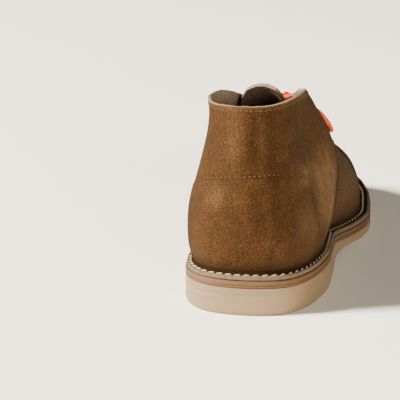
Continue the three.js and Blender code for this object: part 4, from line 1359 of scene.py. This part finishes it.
class BootSole(bpy.types.PropertyGroup):
    rubber_colour: colour_choice("Rubber", "Colour of the outsole", (0.172, 0.110, 0.053))
    rubber_shade: colour_choice("Upper rubber", "Colour near the outsole's top", (0.132, 0.084, 0.042))
    midsole_colour: colour_choice("Midsole", "Colour of the midsole leather", (0.090, 0.039, 0.0128))
    layer_colour: colour_choice("Midsole layers", "Colour of its darker layers", (0.077, 0.036, 0.0135))
    insole_colour: colour_choice("Insole", "Colour of the insole leather", (0.36, 0.25, 0.145))
    tread_depth: length_choice("Tread depth", "Depth of the grooves under the sole", 0.0007, 0, 0.0015)
    tread_pitch: length_choice("Tread pitch", "Distance from groove to groove", 0.0052, 0.003, 0.01)


class BootStitches(bpy.types.PropertyGroup):
    flange_colour: colour_choice("Flange colour", "Colour of the flange's thick thread", (0.40, 0.29, 0.175))
    fine_colour: colour_choice("Fine colour", "Colour of the thread on the upper", (0.070, 0.038, 0.016))
    flange_pitch: length_choice("Flange pitch", "Length of a flange stitch and its gap", 0.0049, 0.003, 0.008)
    flange_thread: length_choice("Flange thread", "Thickness of the flange's thread", 0.00092, 0.0005, 0.002)
    fine_pitch: length_choice("Fine pitch", "Length of a fine stitch and its gap", 0.0026, 0.002, 0.005)
    fine_thread: length_choice("Fine thread", "Thickness of the fine thread", 0.00056, 0.0003, 0.001)
    edge_distance: length_choice("Edge distance", "From the collar's edge to its row", 0.0022, 0.0015, 0.008)


class BootLace(bpy.types.PropertyGroup):
    colour: colour_choice("Lace", "Colour of the lace", (0.55, 0.055, 0.007))
    tip_colour: colour_choice("Tips", "Colour of the lace's tips", (0.55, 0.08, 0.02))
    diameter: length_choice("Diameter", "Diameter of the lace", 0.0028, 0.002, 0.004)


class BootStage(bpy.types.PropertyGroup):
    floor_colour: colour_choice("Floor", "Colour of the floor", (0.96, 0.89, 0.755))
    key_power: FloatProperty(name="Key light", description="Power of the left light", default=2130.0, min=0)
    key_size: length_choice("Key size", "Diameter of the light on the left", 1.5, 0.05, 4)
    fill: FloatProperty(name="Fill", description="Strength of the room's light", default=0.085, min=0, max=5)


class BOOT_PT_panel(bpy.types.Panel):
    bl_idname = "BOOT_PT_panel"
    bl_label = "Chukka boot"
    bl_space_type = "VIEW_3D"
    bl_region_type = "UI"
    bl_category = "Boot"

    def draw(self, context):
        for operator in OPERATORS:
            self.layout.operator(operator.bl_idname)
        for name in GROUPS:
            group = getattr(context.scene, name)
            box = self.layout.box()
            for key in group.bl_rna.properties.keys():
                if key not in ("rna_type", "name"):
                    box.prop(group, key)


OPERATORS = [BOOT_OT_stage, BOOT_OT_lace, BOOT_OT_upper, BOOT_OT_tongue, BOOT_OT_sole, BOOT_OT_stitches]
GROUPS = {
    "boot_suede": BootSuede, "boot_sole": BootSole, "boot_stitches": BootStitches, "boot_lace": BootLace,
    "boot_stage": BootStage,
}


def register():
    for group in GROUPS.values():
        bpy.utils.register_class(group)
    for name, group in GROUPS.items():
        setattr(bpy.types.Scene, name, PointerProperty(type=group))
    for operator in OPERATORS:
        bpy.utils.register_class(operator)
    bpy.utils.register_class(BOOT_PT_panel)


def unregister():
    bpy.utils.unregister_class(BOOT_PT_panel)
    for operator in reversed(OPERATORS):
        bpy.utils.unregister_class(operator)
    for name, group in GROUPS.items():
        delattr(bpy.types.Scene, name)
        bpy.utils.unregister_class(group)


def main():
    register()
    bpy.ops.boot.stage()
    bpy.ops.boot.lace()
    bpy.ops.boot.upper()
    bpy.ops.boot.tongue()
    bpy.ops.boot.sole()
    bpy.ops.boot.stitches()
    with open(SIZE_FILE, "w") as file:
        sizes = {"cad": CAD_BOX, "visual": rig.bounds()}
        json.dump({name: [list(corner) for corner in box] for name, box in sizes.items()}, file, indent=1)


if __name__ == "__main__":
    main()
